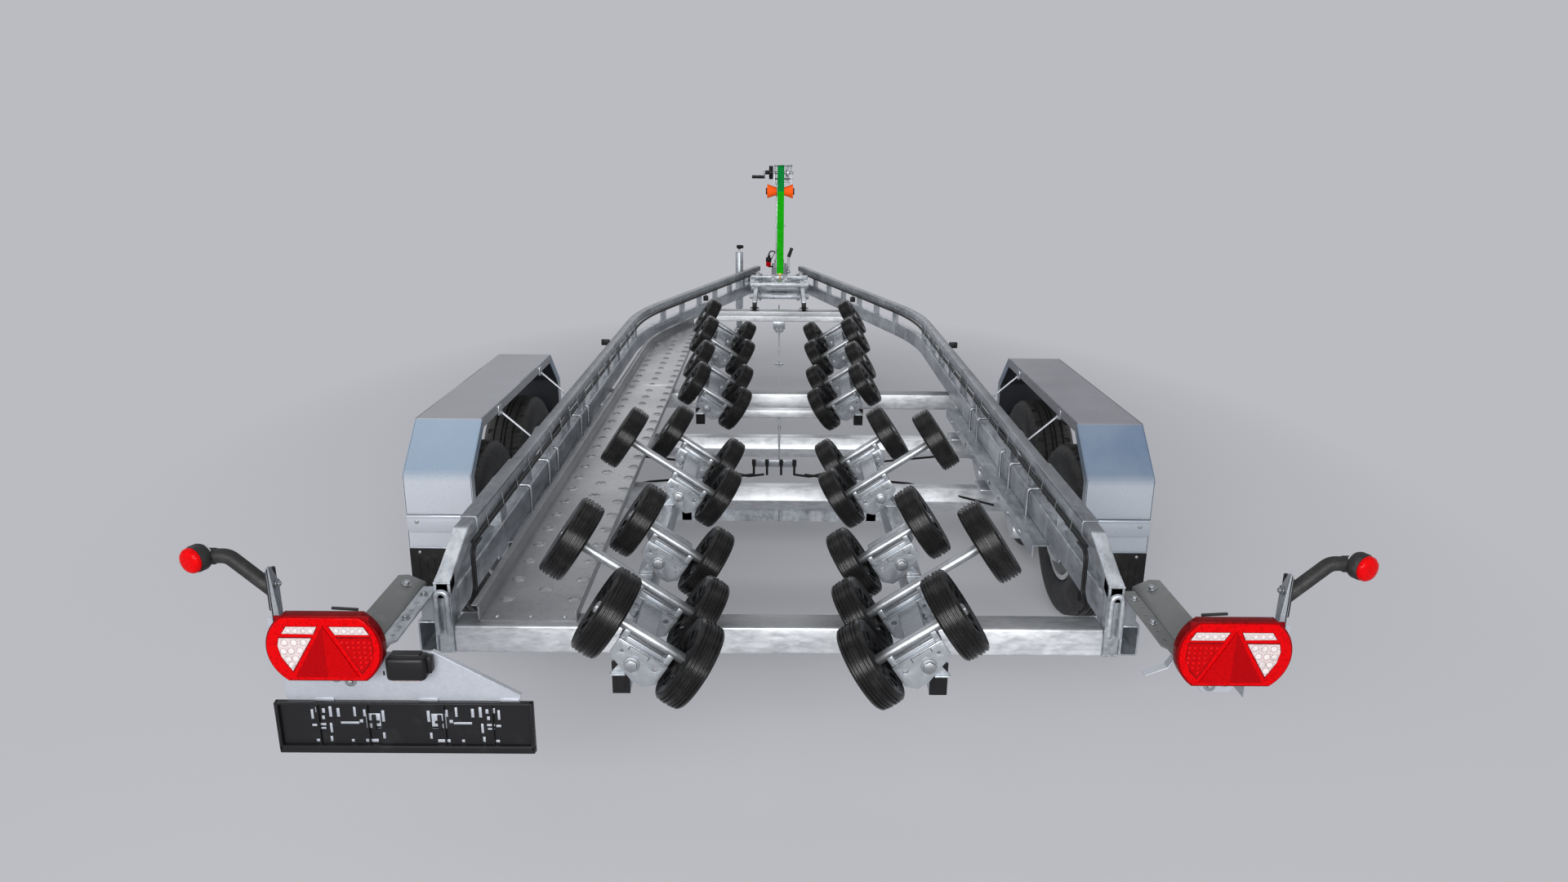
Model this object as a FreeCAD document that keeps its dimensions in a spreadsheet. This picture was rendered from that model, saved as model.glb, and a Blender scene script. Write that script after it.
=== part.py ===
import FreeCAD, Part
import math
import os
import Sketcher
from FreeCAD import Placement, Rotation, Vector

# Tandem-axle boat trailer, millimetres
# +Y towing direction, +X the trailer's right side, +Z up
# Origin on the ground, on the centre plane, at the middle of the overall length

doc = FreeCAD.newDocument("BoatTrailer")
sheet = doc.addObject("Spreadsheet::Sheet", "Sizes")

sizes = {
    # side trusses: an upper and a lower chord that bend inwards to the drawbar
    "railOuter": 865, "chordWide": 40, "upperTop": 743, "upperTall": 42,
    "lowerTop": 627, "lowerTall": 80, "frameRear": -3134, "mitreReach": 184,
    "mitreDrop": 78, "mitreShare": 0.7, "endTubeDeep": 46, "bendStart": 293, "bendRadius": 2400,
    "bendAngle": 16, "railFront": 2960, "postWide": 62, "postSheet": 4,
    "postDepth": 26, "postPitch": 330, "webSheet": 4, "webReach": 300,
    "loopRod": 12, "loopWide": 35, "loopTall": 125, "loopBack": 3, "loopSink": 8, "stubWide": 46,
    "stubTall": 78, "stubLong": 190, "stubWall": 4, "stubTop": 560,
    "sleeveLong": 520, "sleeveSheet": 3, "sleeveRear": -2880,
    # cross members
    "beamDeep": 80, "beamTall": 76, "beamTop": 547,
    "middleRear": -644, "barRear": -740, "barTop": 489, "barTall": 40, "barDeep": 50,
    "barHalf": 360, "hangerWide": 60, "hangerSheet": 5, "frontRear": 1650, "frontTop": 582, "frontHalf": 640,
    # roller carriers
    "carrierX": 352, "carrierWide": 40, "carrierTall": 80, "carrierRear": -3455,
    "carrierFront": -1760, "saddleLong": 90, "saddleSheet": 5, "capDepth": 4,
    "armY": -719, "armZ": 681, "armSlope": 9.35, "armRearEnd": 378, "armFrontEnd": 520,
    "armSpread": 304, "armPitch": 270,
    # rollers and their rockers
    "rollerRadius": 100, "rollerWide": 60, "rollerBore": 10, "rollerHub": 26,
    "rollerHubWide": 30, "axleTilt": 34, "halfSpan": 105, "longSpan": 241,
    "axleRise": 64, "axleRod": 9.95, "axleTube": 12, "hubGap": 0.5, "nutRadius": 16,
    "nutLong": 12, "pivotX": 317, "pivotRise": 71, "rockerInner": 68, "rockerOuter": 54,
    "rockerTop": 38, "rockerBottom": 34, "rockerSheet": 5, "rockerFlange": 24,
    "rockerChamfer": 20, "rockerSlantIn": 22, "rockerSlantOut": 46, "rockerSlantUp": 8,
    "plateBack": 14, "saddleWide": 12, "pivotPin": 9.95, "pivotBore": 10, "pinOver": 12,
    "earSheet": 6, "earGap": 6, "earHalf": 16, "earFoot": 36, "rearPairY": -3398,
    "rearPitch": 225, "singleY": -3000, "singlePitch": 120, "singleLift": 14,
    "forePairY": -2282, "forePitch": 330,
    # road wheels, axles
    "wheelX": 1143, "wheelRadius": 325, "tyreWide": 185, "tyreShoulder": 22,
    "tyreSide": 12, "rimRadius": 190, "rimEdge": 6, "rimWide": 150, "rimSheet": 5,
    "discRadius": 120, "discOffset": 30, "hubRadius": 34, "hubLong": 60,
    "drumRadius": 128, "drumWide": 60, "drumGap": 8, "drumInset": 15, "wheelRearY": -1863,
    "wheelPitch": 690, "axleForward": 153, "axleFlats": 92, "axleZ": 395,
    "tieHalf": 400, "tieTall": 40, "tieDeep": 24, "tieDrop": 25, "tieGap": 1,
    "axleHalf": 880, "armThick": 40, "armWide": 80, "stubRadius": 22, "stubEnd": 1,
    "bearingFit": 0.05, "plateRadius": 122, "plateSheet": 6, "rimGap": 0.3,
    "channelRear": -2570, "channelFront": -900, "channelInner": 775,
    "channelSheet": 5, "channelLip": 40, "channelSkirt": 60, "axleFoot": 12, "axleFootLong": 170,
    # mudguards, mudflaps and stays
    "guardInner": 1030, "guardWide": 230, "guardTop": 798, "guardTopLong": 1100,
    "guardDrop": 150, "guardRun": 172, "guardBottom": 362, "guardSheet": 4,
    "guardLip": 34, "guardSlant": 20, "flapLong": 150, "flapSheet": 6, "stayRod": 8, "stayLean": 17,
    "stayInset": 330, "stripDeep": 26, "footWide": 60, "footSheet": 5,
    # walkway beside the rollers
    "walkLeft": 768, "walkWide": 250, "walkRear": -3108, "walkFront": 1300,
    "walkSheet": 3, "walkFlange": 45, "walkReturn": 16, "walkInner": 27,
    # winch stand
    "bearerX": 173, "bearerWide": 30, "bearerTall": 60, "bearerFront": 2830,
    "clampRearY": 2190, "clampForeY": 2500, "clampHalf": 220, "clampDeep": 40,
    "clampTall": 30, "clampBolt": 7, "basePlate": 8, "baseHalf": 60, "postWidth": 60,
    "postY": 2345, "postTop": 1425, "winchSheet": 5, "winchLeft": -40, "winchRight": 78,
    "bedRear": 60, "winchRear": 92, "winchFront": 110, "winchTop": 1562, "drumY": 2325, "drumZ": 1500,
    "drumLeft": -35, "drumRight": 45, "flangeSheet": 3, "flangeRadius": 62, "drumShaft": 9.95,
    "shaftBore": 10, "shaftOver": 8, "strapRoll": 54, "strapWide": 50, "strapX": 5,
    "gearX": 52, "gearThick": 10, "gearRadius": 62, "pinionRadius": 16, "meshGap": 1,
    "crankRise": 20, "crankHub": 50, "crankHubLong": 30, "crankHubGap": 8, "crankArm": 170,
    "crankLean": 13, "crankSheet": 8, "crankBar": 24, "crankNeck": 34, "gripRadius": 13,
    "gripLong": 98, "strapSheet": 3, "strapGap": 0.4, "strapFootY": 2296, "strapFootZ": 760,
    "bowY": 2270, "bowZ": 1370, "bowHalf": 95, "bowRadius": 51, "bowWaist": 31,
    "bowInner": 34, "bowCap": 25, "bowCapLong": 10, "bowBore": 10, "bowPin": 9.95,
    "bowArmHalf": 30, "bowArmTall": 40, "bowArmBack": 15, "hookRing": 18, "hookRod": 5,
    "lugSheet": 8,
    # coupling and overrun device
    "noseY": 3650, "drawZ": 690, "drawRadius": 25, "housingRear": 2760, "housingLong": 350,
    "housingWide": 116, "housingTall": 110, "headPlate": 10, "headPlateLong": 170,
    "bellowsLong": 150, "bellowsRadius": 44, "bellowsRoot": 34, "bellowsRibs": 5,
    "headLong": 190, "headWide": 84, "headTall": 76, "neckHalf": 33, "neckLift": 19, "neckTall": 46, "ballRadius": 25.2, "socketDeep": 42,
    "handleLong": 35, "handleBar": 22, "handleRise": 30, "handleLift": 48, "leverX": 75, "leverY": 3000,
    "leverLong": 200, "leverLean": 14, "leverRadius": 8, "leverGrip": 15, "leverGripLong": 80,
    # jockey wheel
    "jockeyX": -322, "jockeyY": 2800, "jockeyTube": 30, "jockeyTop": 868,
    "jockeyBottom": 420, "legTube": 24, "legTop": 640, "legBore": 24.05, "collarTall": 20,
    "bandTall": 60, "bandSheet": 10, "bandZ": 655, "jockeyWheel": 108, "jockeyWide": 58, "jockeyWeb": 10,
    "jockeyRing": 65, "jockeyWall": 3, "jockeyShoulder": 78, "jockeyBulge": 26, "jockeyTread": 17,
    "jockeyTrail": 60, "forkSheet": 6, "forkGap": 5, "legBottom": 256, "swivelGap": 0.3,
    "crownTall": 20, "swivelPin": 10, "swivelBore": 10.05, "jockeyAxle": 8,
    "jockeyBore": 8.05, "jockeyHub": 20, "knobRadius": 20, "knobTall": 32, "spindle": 7,
    "spindleTall": 26,
    # lamps, their arms and the number plate holder
    "lampX": 905, "lampZ": 757, "lampTall": 143, "lampDeep": 50,
    "lampFlat": 132, "lampRound": 75, "backInset": 62, "armX": 903, "armTopWide": 60,
    "armTopRise": 27, "stripZ": 640, "armSheet": 3, "armLeg": 40, "stripSheet": 6,
    "backWide": 196, "backHalf": 45,
    "plateX": -777, "plateZ": 552, "plateWide": 532, "plateTall": 118, "plateDeep": 14,
    "sheetInner": -537, "sheetOuter": -1020, "sheetKnee": -712, "sheetTop": 722,
    "sheetRise": 40, "markerX": 1216,
    "markerZ": 883, "markerRadius": 34, "markerLong": 50, "markerBack": 12, "markerRod": 20,
    "markerRoot": 1040, "markerRootZ": 800, "markerPlate": 64, "markerPlateTall": 182,
    "markerPlateDrop": 130,
    # brake rod and wiring looms
    "rodRadius": 5, "rodZ": 443.7, "loomRadius": 11,
}


class Size:
    """A length or angle that knows the sheet expression it comes from."""

    def __init__(self, value, text):
        self.value = float(value)
        self.text = text

    def __add__(self, other):
        return Size(self.value + number(other), f"({self.text} + {words(other)})")

    def __radd__(self, other):
        return Size(number(other) + self.value, f"({words(other)} + {self.text})")

    def __sub__(self, other):
        return Size(self.value - number(other), f"({self.text} - {words(other)})")

    def __rsub__(self, other):
        return Size(number(other) - self.value, f"({words(other)} - {self.text})")

    def __mul__(self, other):
        return Size(self.value * number(other), f"{self.text} * {words(other)}")

    def __rmul__(self, other):
        return Size(number(other) * self.value, f"{words(other)} * {self.text}")

    def __truediv__(self, other):
        return Size(self.value / number(other), f"{self.text} / {words(other)}")

    def __neg__(self):
        return Size(-self.value, f"(-1 * {self.text})")


def number(item):
    return item.value if isinstance(item, Size) else float(item)


def words(item):
    return item.text if isinstance(item, Size) else f"({item})"


def cosOf(angle):
    return Size(math.cos(math.radians(number(angle))), f"cos({words(angle)})")


def sinOf(angle):
    return Size(math.sin(math.radians(number(angle))), f"sin({words(angle)})")


def tanOf(angle):
    return Size(math.tan(math.radians(number(angle))), f"tan({words(angle)})")


class Named:
    """Every size of the sheet as an attribute."""


S = Named()
for row, (name, value) in enumerate(sizes.items(), start=1):
    sheet.set(f"A{row}", name)
    sheet.set(f"B{row}", str(value))
    sheet.setAlias(f"B{row}", name)
    setattr(S, name, Size(value, f"Sizes.{name}"))
doc.recompute()

zero = (0, 0, 0)
subparts = []


# Helpers: features whose sizes and places are bound to the sheet

def bind(item, prop, size):
    setattr(item, prop, number(size))
    if isinstance(size, Size):
        item.setExpression(prop, size.text)


def place(item, at=zero, axis=(0, 0, 1), angle=0):
    item.Placement = Placement(Vector(*[number(c) for c in at]), Rotation(Vector(*axis), number(angle)))
    for letter, size in zip("xyz", at):
        if isinstance(size, Size):
            item.setExpression(f"Placement.Base.{letter}", size.text)
    if isinstance(angle, Size):
        item.setExpression("Placement.Rotation.Angle", angle.text)
    return item


def box(name, at, size, axis=(0, 0, 1), angle=0):
    item = doc.addObject("Part::Box", name)
    for prop, length in zip(("Length", "Width", "Height"), size):
        bind(item, prop, length)
    return place(item, at, axis, angle)


turns = {"x": ((0, 1, 0), 90), "y": ((1, 0, 0), -90), "z": ((0, 0, 1), 0)}


def rod(name, at, along, radius, length):
    item = doc.addObject("Part::Cylinder", name)
    bind(item, "Radius", radius)
    bind(item, "Height", length)
    axis, angle = turns[along]
    return place(item, at, axis, angle)


def fuse(name, parts):
    item = doc.addObject("Part::MultiFuse", name)
    item.Shapes = parts
    item.Refine = True
    return item


def cut(name, base, tools):
    item = doc.addObject("Part::Cut", name)
    item.Base = base
    item.Tool = tools[0] if len(tools) == 1 else group(name + "Tools", tools)
    return item


def group(name, parts):
    item = doc.addObject("Part::Compound", name)
    item.Links = parts
    return item


def mirrored(name, source):
    item = doc.addObject("Part::Mirroring", name)
    item.Source = source
    item.Normal = Vector(1, 0, 0)
    return item


def carried(name, part, at=zero, axis=(0, 0, 1), angle=0):
    """One part or group set at a place of its own."""
    return place(group(name, [part] if not isinstance(part, list) else part), at, axis, angle)


def subpart(node, item):
    item.Label = node
    subparts.append((node, item))
    return item


def arcThrough(start, end, radius, turn):
    middle = (start + end) * 0.5
    half = (end - start) * 0.5
    reach = math.sqrt(max(radius ** 2 - half.Length ** 2, 0))
    normal = Vector(-half.y, half.x, 0).normalize()
    centre = middle + normal * reach * turn
    first, last = (start, end) if turn > 0 else (end, start)
    angles = [math.atan2(p.y - centre.y, p.x - centre.x) for p in (first, last)]
    return Part.ArcOfCircle(Part.Circle(centre, Vector(0, 0, 1), radius), *angles), turn > 0


def outline(sketch, corners):
    """Closed outline; a corner (x, y, radius, turn) ends an arc that starts at the corner before."""
    count = len(corners)
    points = [Vector(number(c[0]), number(c[1]), 0) for c in corners]
    ends = []
    for index in range(count):
        start, end, corner = points[index], points[(index + 1) % count], corners[(index + 1) % count]
        if len(corner) == 4:
            arc, forward = arcThrough(start, end, number(corner[2]), corner[3])
            geometry = sketch.addGeometry(arc)
            ends.append((geometry, 1, 2) if forward else (geometry, 2, 1))
            radius = sketch.addConstraint(Sketcher.Constraint("Radius", geometry, number(corner[2])))
            if isinstance(corner[2], Size):
                sketch.setExpression(f"Constraints[{radius}]", corner[2].text)
        else:
            geometry = sketch.addGeometry(Part.LineSegment(start, end))
            ends.append((geometry, 1, 2))
    for index in range(count):
        one, other = ends[index], ends[(index + 1) % count]
        sketch.addConstraint(Sketcher.Constraint("Coincident", one[0], one[2], other[0], other[1]))
    for (geometry, point, _), corner in zip(ends, corners):
        for kind, axis, size in (("DistanceX", -2, corner[0]), ("DistanceY", -1, corner[1])):
            if not isinstance(size, Size) and size == 0:
                sketch.addConstraint(Sketcher.Constraint("PointOnObject", geometry, point, axis))
                continue
            index = sketch.addConstraint(Sketcher.Constraint(kind, -1, 1, geometry, point, number(size)))
            if isinstance(size, Size):
                sketch.setExpression(f"Constraints[{index}]", size.text)


def bodySketch(name, plane, corners):
    body = doc.addObject("PartDesign::Body", name)
    origin = [item for item in body.Origin.OriginFeatures if item.Role == plane][0]
    sketch = body.newObject("Sketcher::SketchObject", name + "Outline")
    sketch.AttachmentSupport = [(origin, "")]
    sketch.MapMode = "FlatFace"
    outline(sketch, corners)
    return body, sketch


def prism(name, plane, corners, depth, at=zero, axis=(0, 0, 1), angle=0, back=False):
    """Padded outline; XY pads along +Z, YZ along +X and XZ along -Y, or the other way with back."""
    body, sketch = bodySketch(name, plane, corners)
    pad = body.newObject("PartDesign::Pad", name + "Pad")
    pad.Profile = sketch
    bind(pad, "Length", depth)
    pad.Reversed = back
    return place(body, at, axis, angle)


def turned(name, corners, at=zero, axis=(0, 0, 1), angle=0):
    """Outline of (along, radius) corners turned about the local X axis."""
    body, sketch = bodySketch(name, "XZ_Plane", corners)
    turn = body.newObject("PartDesign::Revolution", name + "Turn")
    turn.Profile = sketch
    turn.ReferenceAxis = (sketch, ["H_Axis"])
    turn.Angle = 360
    return place(body, at, axis, angle)


def bentTube(name, points, radius, bend):
    """Round bar along straight runs joined by tangent arcs."""
    item = doc.addObject("Part::Feature", name)
    spots = [Vector(*[number(c) for c in point]) for point in points]
    edges = []
    last = spots[0]
    for before, corner, after in zip(spots, spots[1:], spots[2:]):
        one, two = (before - corner).normalize(), (after - corner).normalize()
        half = one.getAngle(two) / 2
        reach = number(bend) / math.tan(half)
        start, end = corner + one * reach, corner + two * reach
        middle = (one + two).normalize()
        centre = corner + middle * (number(bend) / math.sin(half))
        edges.append(Part.LineSegment(last, start).toShape())
        edges.append(Part.Arc(start, centre - middle * number(bend), end).toShape())
        last = end
    edges.append(Part.LineSegment(last, spots[-1]).toShape())
    path = Part.Wire(edges)
    circle = Part.Wire([Part.Circle(spots[0], spots[1] - spots[0], number(radius)).toShape()])
    item.Shape = path.makePipeShell([circle], True, False)
    return item


# Side trusses

railSine, railCosine = sinOf(S.bendAngle), cosOf(S.bendAngle)


def railEdge(inset=0):
    """Plan corners of a rail's line that lies inset from the outer face, rear to front."""
    radius = S.bendRadius - inset
    x = S.railOuter - inset
    endX = x - radius * (1 - railCosine)
    endY = S.bendStart + radius * railSine
    frontX = endX - (S.railFront - endY) * tanOf(S.bendAngle)
    return (x, S.bendStart), (endX, endY, radius, 1), (frontX, S.railFront)


def chord(name, rear, top, tall):
    outer, inner = railEdge(), railEdge(S.chordWide)
    corners = [(S.railOuter, rear), outer[0], outer[1], outer[2], inner[2], inner[1][:2],
               inner[0] + (inner[1][2], -1), (S.railOuter - S.chordWide, rear)]
    return prism(name, "XY_Plane", corners, tall, (0, 0, top - tall))


def postAt(name, y, along):
    """Folded post between the chords; along is the distance past the bend, or none before it."""
    half, fold, sheetThick = S.postWide / 2, S.postDepth / 2, S.postSheet
    corners = [(-fold, -half), (-fold + sheetThick, -half), (fold, 0), (-fold + sheetThick, half),
               (-fold, half), (fold - sheetThick, 0)]
    tall = S.upperTop - S.upperTall - S.lowerTop
    middle = S.railOuter - S.chordWide / 2
    if along is None:
        return prism(name, "XY_Plane", corners, tall, (middle, y, S.lowerTop))
    radius = S.bendRadius - S.chordWide / 2
    x = middle - radius * (1 - railCosine) - along * railSine
    y = S.bendStart + radius * railSine + along * railCosine
    return prism(name, "XY_Plane", corners, tall, (x, y, S.lowerTop), (0, 0, 1), S.bendAngle)


rearTop = S.frameRear + S.mitreReach
upper = chord("upperChord", rearTop, S.upperTop, S.upperTall)
lower = chord("lowerChord", S.frameRear + S.endTubeDeep, S.lowerTop, S.lowerTall)
chordInner = S.railOuter - S.chordWide
mitreFoot = S.upperTop - S.mitreDrop
endTube = prism("endTube", "YZ_Plane", [
    (S.frameRear, S.beamTop - S.beamTall), (S.frameRear + S.endTubeDeep, S.beamTop - S.beamTall),
    (S.frameRear + S.endTubeDeep, mitreFoot - S.upperTall * S.mitreShare), (rearTop, S.upperTop - S.upperTall),
    (rearTop, S.upperTop), (S.frameRear, mitreFoot)], S.chordWide, (chordInner, 0, 0))
cornerWeb = prism("cornerWeb", "YZ_Plane", [
    (S.frameRear + S.endTubeDeep, S.lowerTop), (rearTop + S.webReach, S.lowerTop),
    (rearTop + S.webReach / 2, S.upperTop - S.upperTall), (rearTop, S.upperTop - S.upperTall),
    (S.frameRear + S.endTubeDeep, mitreFoot - S.upperTall * S.mitreShare)],
    S.webSheet, (S.railOuter - S.chordWide / 2, 0, 0))
stub = cut("lampStub", box("stubOuter", (S.railOuter, S.frameRear, S.stubTop - S.stubTall),
                           (S.stubWide, S.stubLong, S.stubTall)),
           [box("stubInner", (S.railOuter + S.stubWall, S.frameRear - S.stubWall,
                              S.stubTop - S.stubTall + S.stubWall),
                (S.stubWide - 2 * S.stubWall, S.stubLong + 2 * S.stubWall, S.stubTall - 2 * S.stubWall))])
loopSpread = S.loopWide / 2 - S.loopRod / 2
loopX = S.railOuter - S.chordWide / 2
loopY = S.frameRear - S.loopBack
loopBase = S.beamTop - S.loopSink
loopCrown = doc.addObject("Part::Torus", "loopCrown")
bind(loopCrown, "Radius1", loopSpread)
bind(loopCrown, "Radius2", S.loopRod / 2)
loopCrown.Angle3 = 180
place(loopCrown, (loopX, loopY, loopBase + S.loopTall - S.loopWide / 2), (1, 0, 0), 90)
loopLegs = [rod(f"loopLeg{index}", (loopX + side * loopSpread, loopY, loopBase), "z",
                S.loopRod / 2, S.loopTall - S.loopWide / 2) for index, side in enumerate((-1, 1))]

posts = []
postStart = rearTop + S.webReach + S.postWide
straightCount = int((number(S.bendStart) - number(postStart)) // number(S.postPitch)) + 2
for index in range(straightCount):
    posts.append(postAt(f"post{index}", postStart + index * S.postPitch, None))
railEnd = railEdge(S.chordWide / 2)
frontLong = (S.railFront - railEnd[1][1]) / railCosine
frontCount = int(number(frontLong) // number(S.postPitch))
for index in range(frontCount):
    posts.append(postAt(f"frontPost{index}", None, S.postWide / 2 + index * S.postPitch))

sleeve = box("railSleeve", (chordInner - S.sleeveSheet, S.sleeveRear, S.upperTop - S.upperTall - S.sleeveSheet),
             (S.chordWide + 2 * S.sleeveSheet, S.sleeveLong, S.upperTall + 2 * S.sleeveSheet))
sideTruss = fuse("sideTrussRight", [upper, lower, endTube, cornerWeb, stub, loopCrown, sleeve] + loopLegs + posts)
subpart("side_truss_right", sideTruss)
subpart("side_truss_left", mirrored("sideTrussLeft", sideTruss))

# Cross members


def beam(name, y, top, half):
    return box(name, (-half, y, top - S.beamTall), (2 * half, S.beamDeep, S.beamTall))


rearBeam = beam("rearBeam", S.frameRear, S.beamTop, chordInner)
middleBeam = beam("middleBeam", S.middleRear, S.beamTop, S.railOuter)
frontBeam = cut("frontBeamCut", beam("frontBeam", S.frontRear, S.frontTop, S.frontHalf),
                [lower, mirrored("lowerChordLeft", lower)])
lowBar = box("lowBar", (-S.barHalf, S.barRear, S.barTop - S.barTall), (2 * S.barHalf, S.barDeep, S.barTall))
hangers = [prism(f"hanger{index}", "YZ_Plane", [
    (S.barRear, S.barTop - S.barTall), (S.barRear + S.barDeep, S.barTop - S.barTall),
    (S.middleRear + S.beamDeep / 2, S.beamTop - S.beamTall), (S.middleRear, S.beamTop - S.beamTall),
    (S.barRear, S.barTop)], S.hangerSheet, (side * (S.barHalf - S.hangerWide) - S.hangerSheet / 2, 0, 0))
    for index, side in enumerate((-1, 1))]
subpart("cross_beams", group("crossBeams", [rearBeam, fuse("middleFrame", [middleBeam, lowBar] + hangers),
                                            frontBeam]))

# Axle channels under the lower chords


def channelRight():
    topZ = S.lowerTop - S.lowerTall
    sheetThick = S.channelSheet
    profile = [(S.channelInner, topZ - S.channelLip), (S.channelInner + sheetThick, topZ - S.channelLip),
               (S.channelInner + sheetThick, topZ - sheetThick), (S.railOuter - sheetThick, topZ - sheetThick),
               (S.railOuter - sheetThick, topZ - S.channelSkirt), (S.railOuter, topZ - S.channelSkirt),
               (S.railOuter, topZ), (S.channelInner, topZ)]
    return prism("axleChannel", "XZ_Plane", profile, S.channelFront - S.channelRear,
                 (0, S.channelFront, 0))


axleYs = [S.wheelRearY + S.axleForward, S.wheelRearY + S.wheelPitch + S.axleForward]
channelFeet = []
for index, axleY in enumerate(axleYs):
    footTop = S.lowerTop - S.lowerTall
    footZ = S.axleZ + S.axleFlats / 2
    channelFeet.append(box(f"axleFoot{index}", (S.railOuter - S.axleFoot - S.channelSheet,
                                                axleY - S.axleFootLong / 2, footZ),
                           (S.axleFoot, S.axleFootLong, footTop - footZ)))
channel = fuse("axleChannelRight", [channelRight()] + channelFeet)
subpart("axle_channels", group("axleChannels", [channel, mirrored("axleChannelLeft", channel)]))

# Axle beams: hexagonal tubes with trailing arms, brake plates and stub axles

wheelYs = [S.wheelRearY, S.wheelRearY + S.wheelPitch]
drumInner = S.wheelX - S.discOffset - S.drumWide
axleParts = []
for index, (axleY, wheelY) in enumerate(zip(axleYs, wheelYs)):
    side = S.axleFlats / 2 * tanOf(30)
    half = S.axleFlats / 2
    hexagon = [(axleY - side, S.axleZ - half), (axleY + side, S.axleZ - half), (axleY + 2 * side, S.axleZ),
               (axleY + side, S.axleZ + half), (axleY - side, S.axleZ + half), (axleY - 2 * side, S.axleZ)]
    tube = prism(f"axleTube{index}", "YZ_Plane", hexagon, 2 * S.axleHalf, (-S.axleHalf, 0, 0))
    parts = [tube]
    for word, sign in (("Right", 1), ("Left", -1)):
        armX = sign * (S.axleHalf + S.armThick / 2) - S.armThick / 2
        parts.append(prism(f"swingArm{word}{index}", "YZ_Plane", [
            (wheelY - S.armWide / 2, S.wheelRadius - S.armWide / 2),
            (wheelY + S.armWide / 2, S.wheelRadius - S.armWide / 2),
            (axleY + S.armWide / 2, S.axleZ - S.armWide / 2), (axleY + S.armWide / 2, S.axleZ + S.armWide / 2),
            (axleY - S.armWide / 2, S.axleZ + S.armWide / 2),
            (wheelY - S.armWide / 2, S.wheelRadius + S.armWide / 2)], S.armThick, (armX, 0, 0)))
        stubLong = S.wheelX + S.discOffset - S.axleHalf - S.armThick
        stubStart = S.axleHalf + S.armThick if sign > 0 else -S.axleHalf - S.armThick - stubLong
        parts.append(rod(f"stubAxle{word}{index}", (stubStart, wheelY, S.wheelRadius), "x",
                         S.stubRadius, stubLong))
        plateX = sign * (drumInner - S.drumGap - S.plateSheet / 2) - S.plateSheet / 2
        parts.append(rod(f"brakePlate{word}{index}", (plateX, wheelY, S.wheelRadius), "x",
                         S.plateRadius, S.plateSheet))
    axleParts.append(fuse(f"axle{index}", parts))
subpart("axle_beams", group("axleBeams", axleParts))

# Road wheels: rim with disc, hub and brake drum, and the tyre on it


def tyreShape():
    half, treadHalf = S.tyreWide / 2, S.tyreWide / 2 - S.tyreShoulder
    bead = S.rimWide / 2 - S.rimEdge - S.rimGap
    seat = S.rimRadius - 2 * S.rimEdge + S.rimGap
    over, middle = S.rimRadius + S.rimEdge, (S.rimRadius + S.wheelRadius) / 2
    shoulder = S.wheelRadius - S.tyreShoulder
    right = [(bead, seat), (bead, over), (half - S.tyreSide, over + S.tyreSide), (half, middle),
             (half - S.tyreSide / 2, shoulder), (treadHalf, S.wheelRadius)]
    return right + [(-x, radius) for x, radius in reversed(right)]


def rimShape():
    """Rim channel with its disc, hub and drum; outboard is +X."""
    half, edge, inner = S.rimWide / 2, S.rimRadius, S.rimRadius - 2 * S.rimEdge - S.rimSheet
    seat = S.rimRadius - 2 * S.rimEdge
    bore = S.stubRadius + S.bearingFit
    disc = S.discOffset
    drumOuter = disc - S.drumInset
    return [(-half, inner), (-half, edge), (-half + S.rimEdge, edge), (-half + S.rimEdge, seat),
            (half - S.rimEdge, seat), (half - S.rimEdge, edge), (half, edge), (half, inner),
            (disc + S.rimSheet, inner), (disc - S.rimSheet, S.discRadius), (disc - S.rimSheet, S.hubRadius),
            (disc + S.hubLong / 2, S.hubRadius), (disc + S.hubLong / 2, 0), (disc + S.stubEnd, 0),
            (disc + S.stubEnd, bore), (-disc - S.drumWide, bore), (-disc - S.drumWide, S.drumRadius),
            (drumOuter, S.drumRadius), (drumOuter, S.discRadius), (disc - S.rimSheet, inner)]


wheelNames = [("rear", wheelYs[0]), ("front", wheelYs[1])]
for word, wheelY in wheelNames:
    for hand, sign in (("right", 1), ("left", -1)):
        turn = 0 if sign > 0 else 180
        spot = (sign * S.wheelX, wheelY, S.wheelRadius)
        subpart(f"tyre_{word}_{hand}", turned(f"tyre{word}{hand}", tyreShape(), spot))
        subpart(f"rim_{word}_{hand}", turned(f"rim{word}{hand}", rimShape(), spot, (0, 0, 1), turn))

# Mudguards: folded six-sided hoods, mudflaps


def guardCorners(inset):
    """Side outline of a hood from its rear bottom corner over the top, inset inwards."""
    slant = inset * tanOf(S.guardSlant)
    rearX = guardMiddle - S.guardTopLong / 2 - S.guardRun + inset
    foreX = guardMiddle + S.guardTopLong / 2 + S.guardRun - inset
    topRear = guardMiddle - S.guardTopLong / 2 + slant
    topFore = guardMiddle + S.guardTopLong / 2 - slant
    return [(rearX, S.guardBottom), (rearX, S.guardTop - S.guardDrop - slant), (topRear, S.guardTop - inset),
            (topFore, S.guardTop - inset), (foreX, S.guardTop - S.guardDrop - slant), (foreX, S.guardBottom)]


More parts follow.
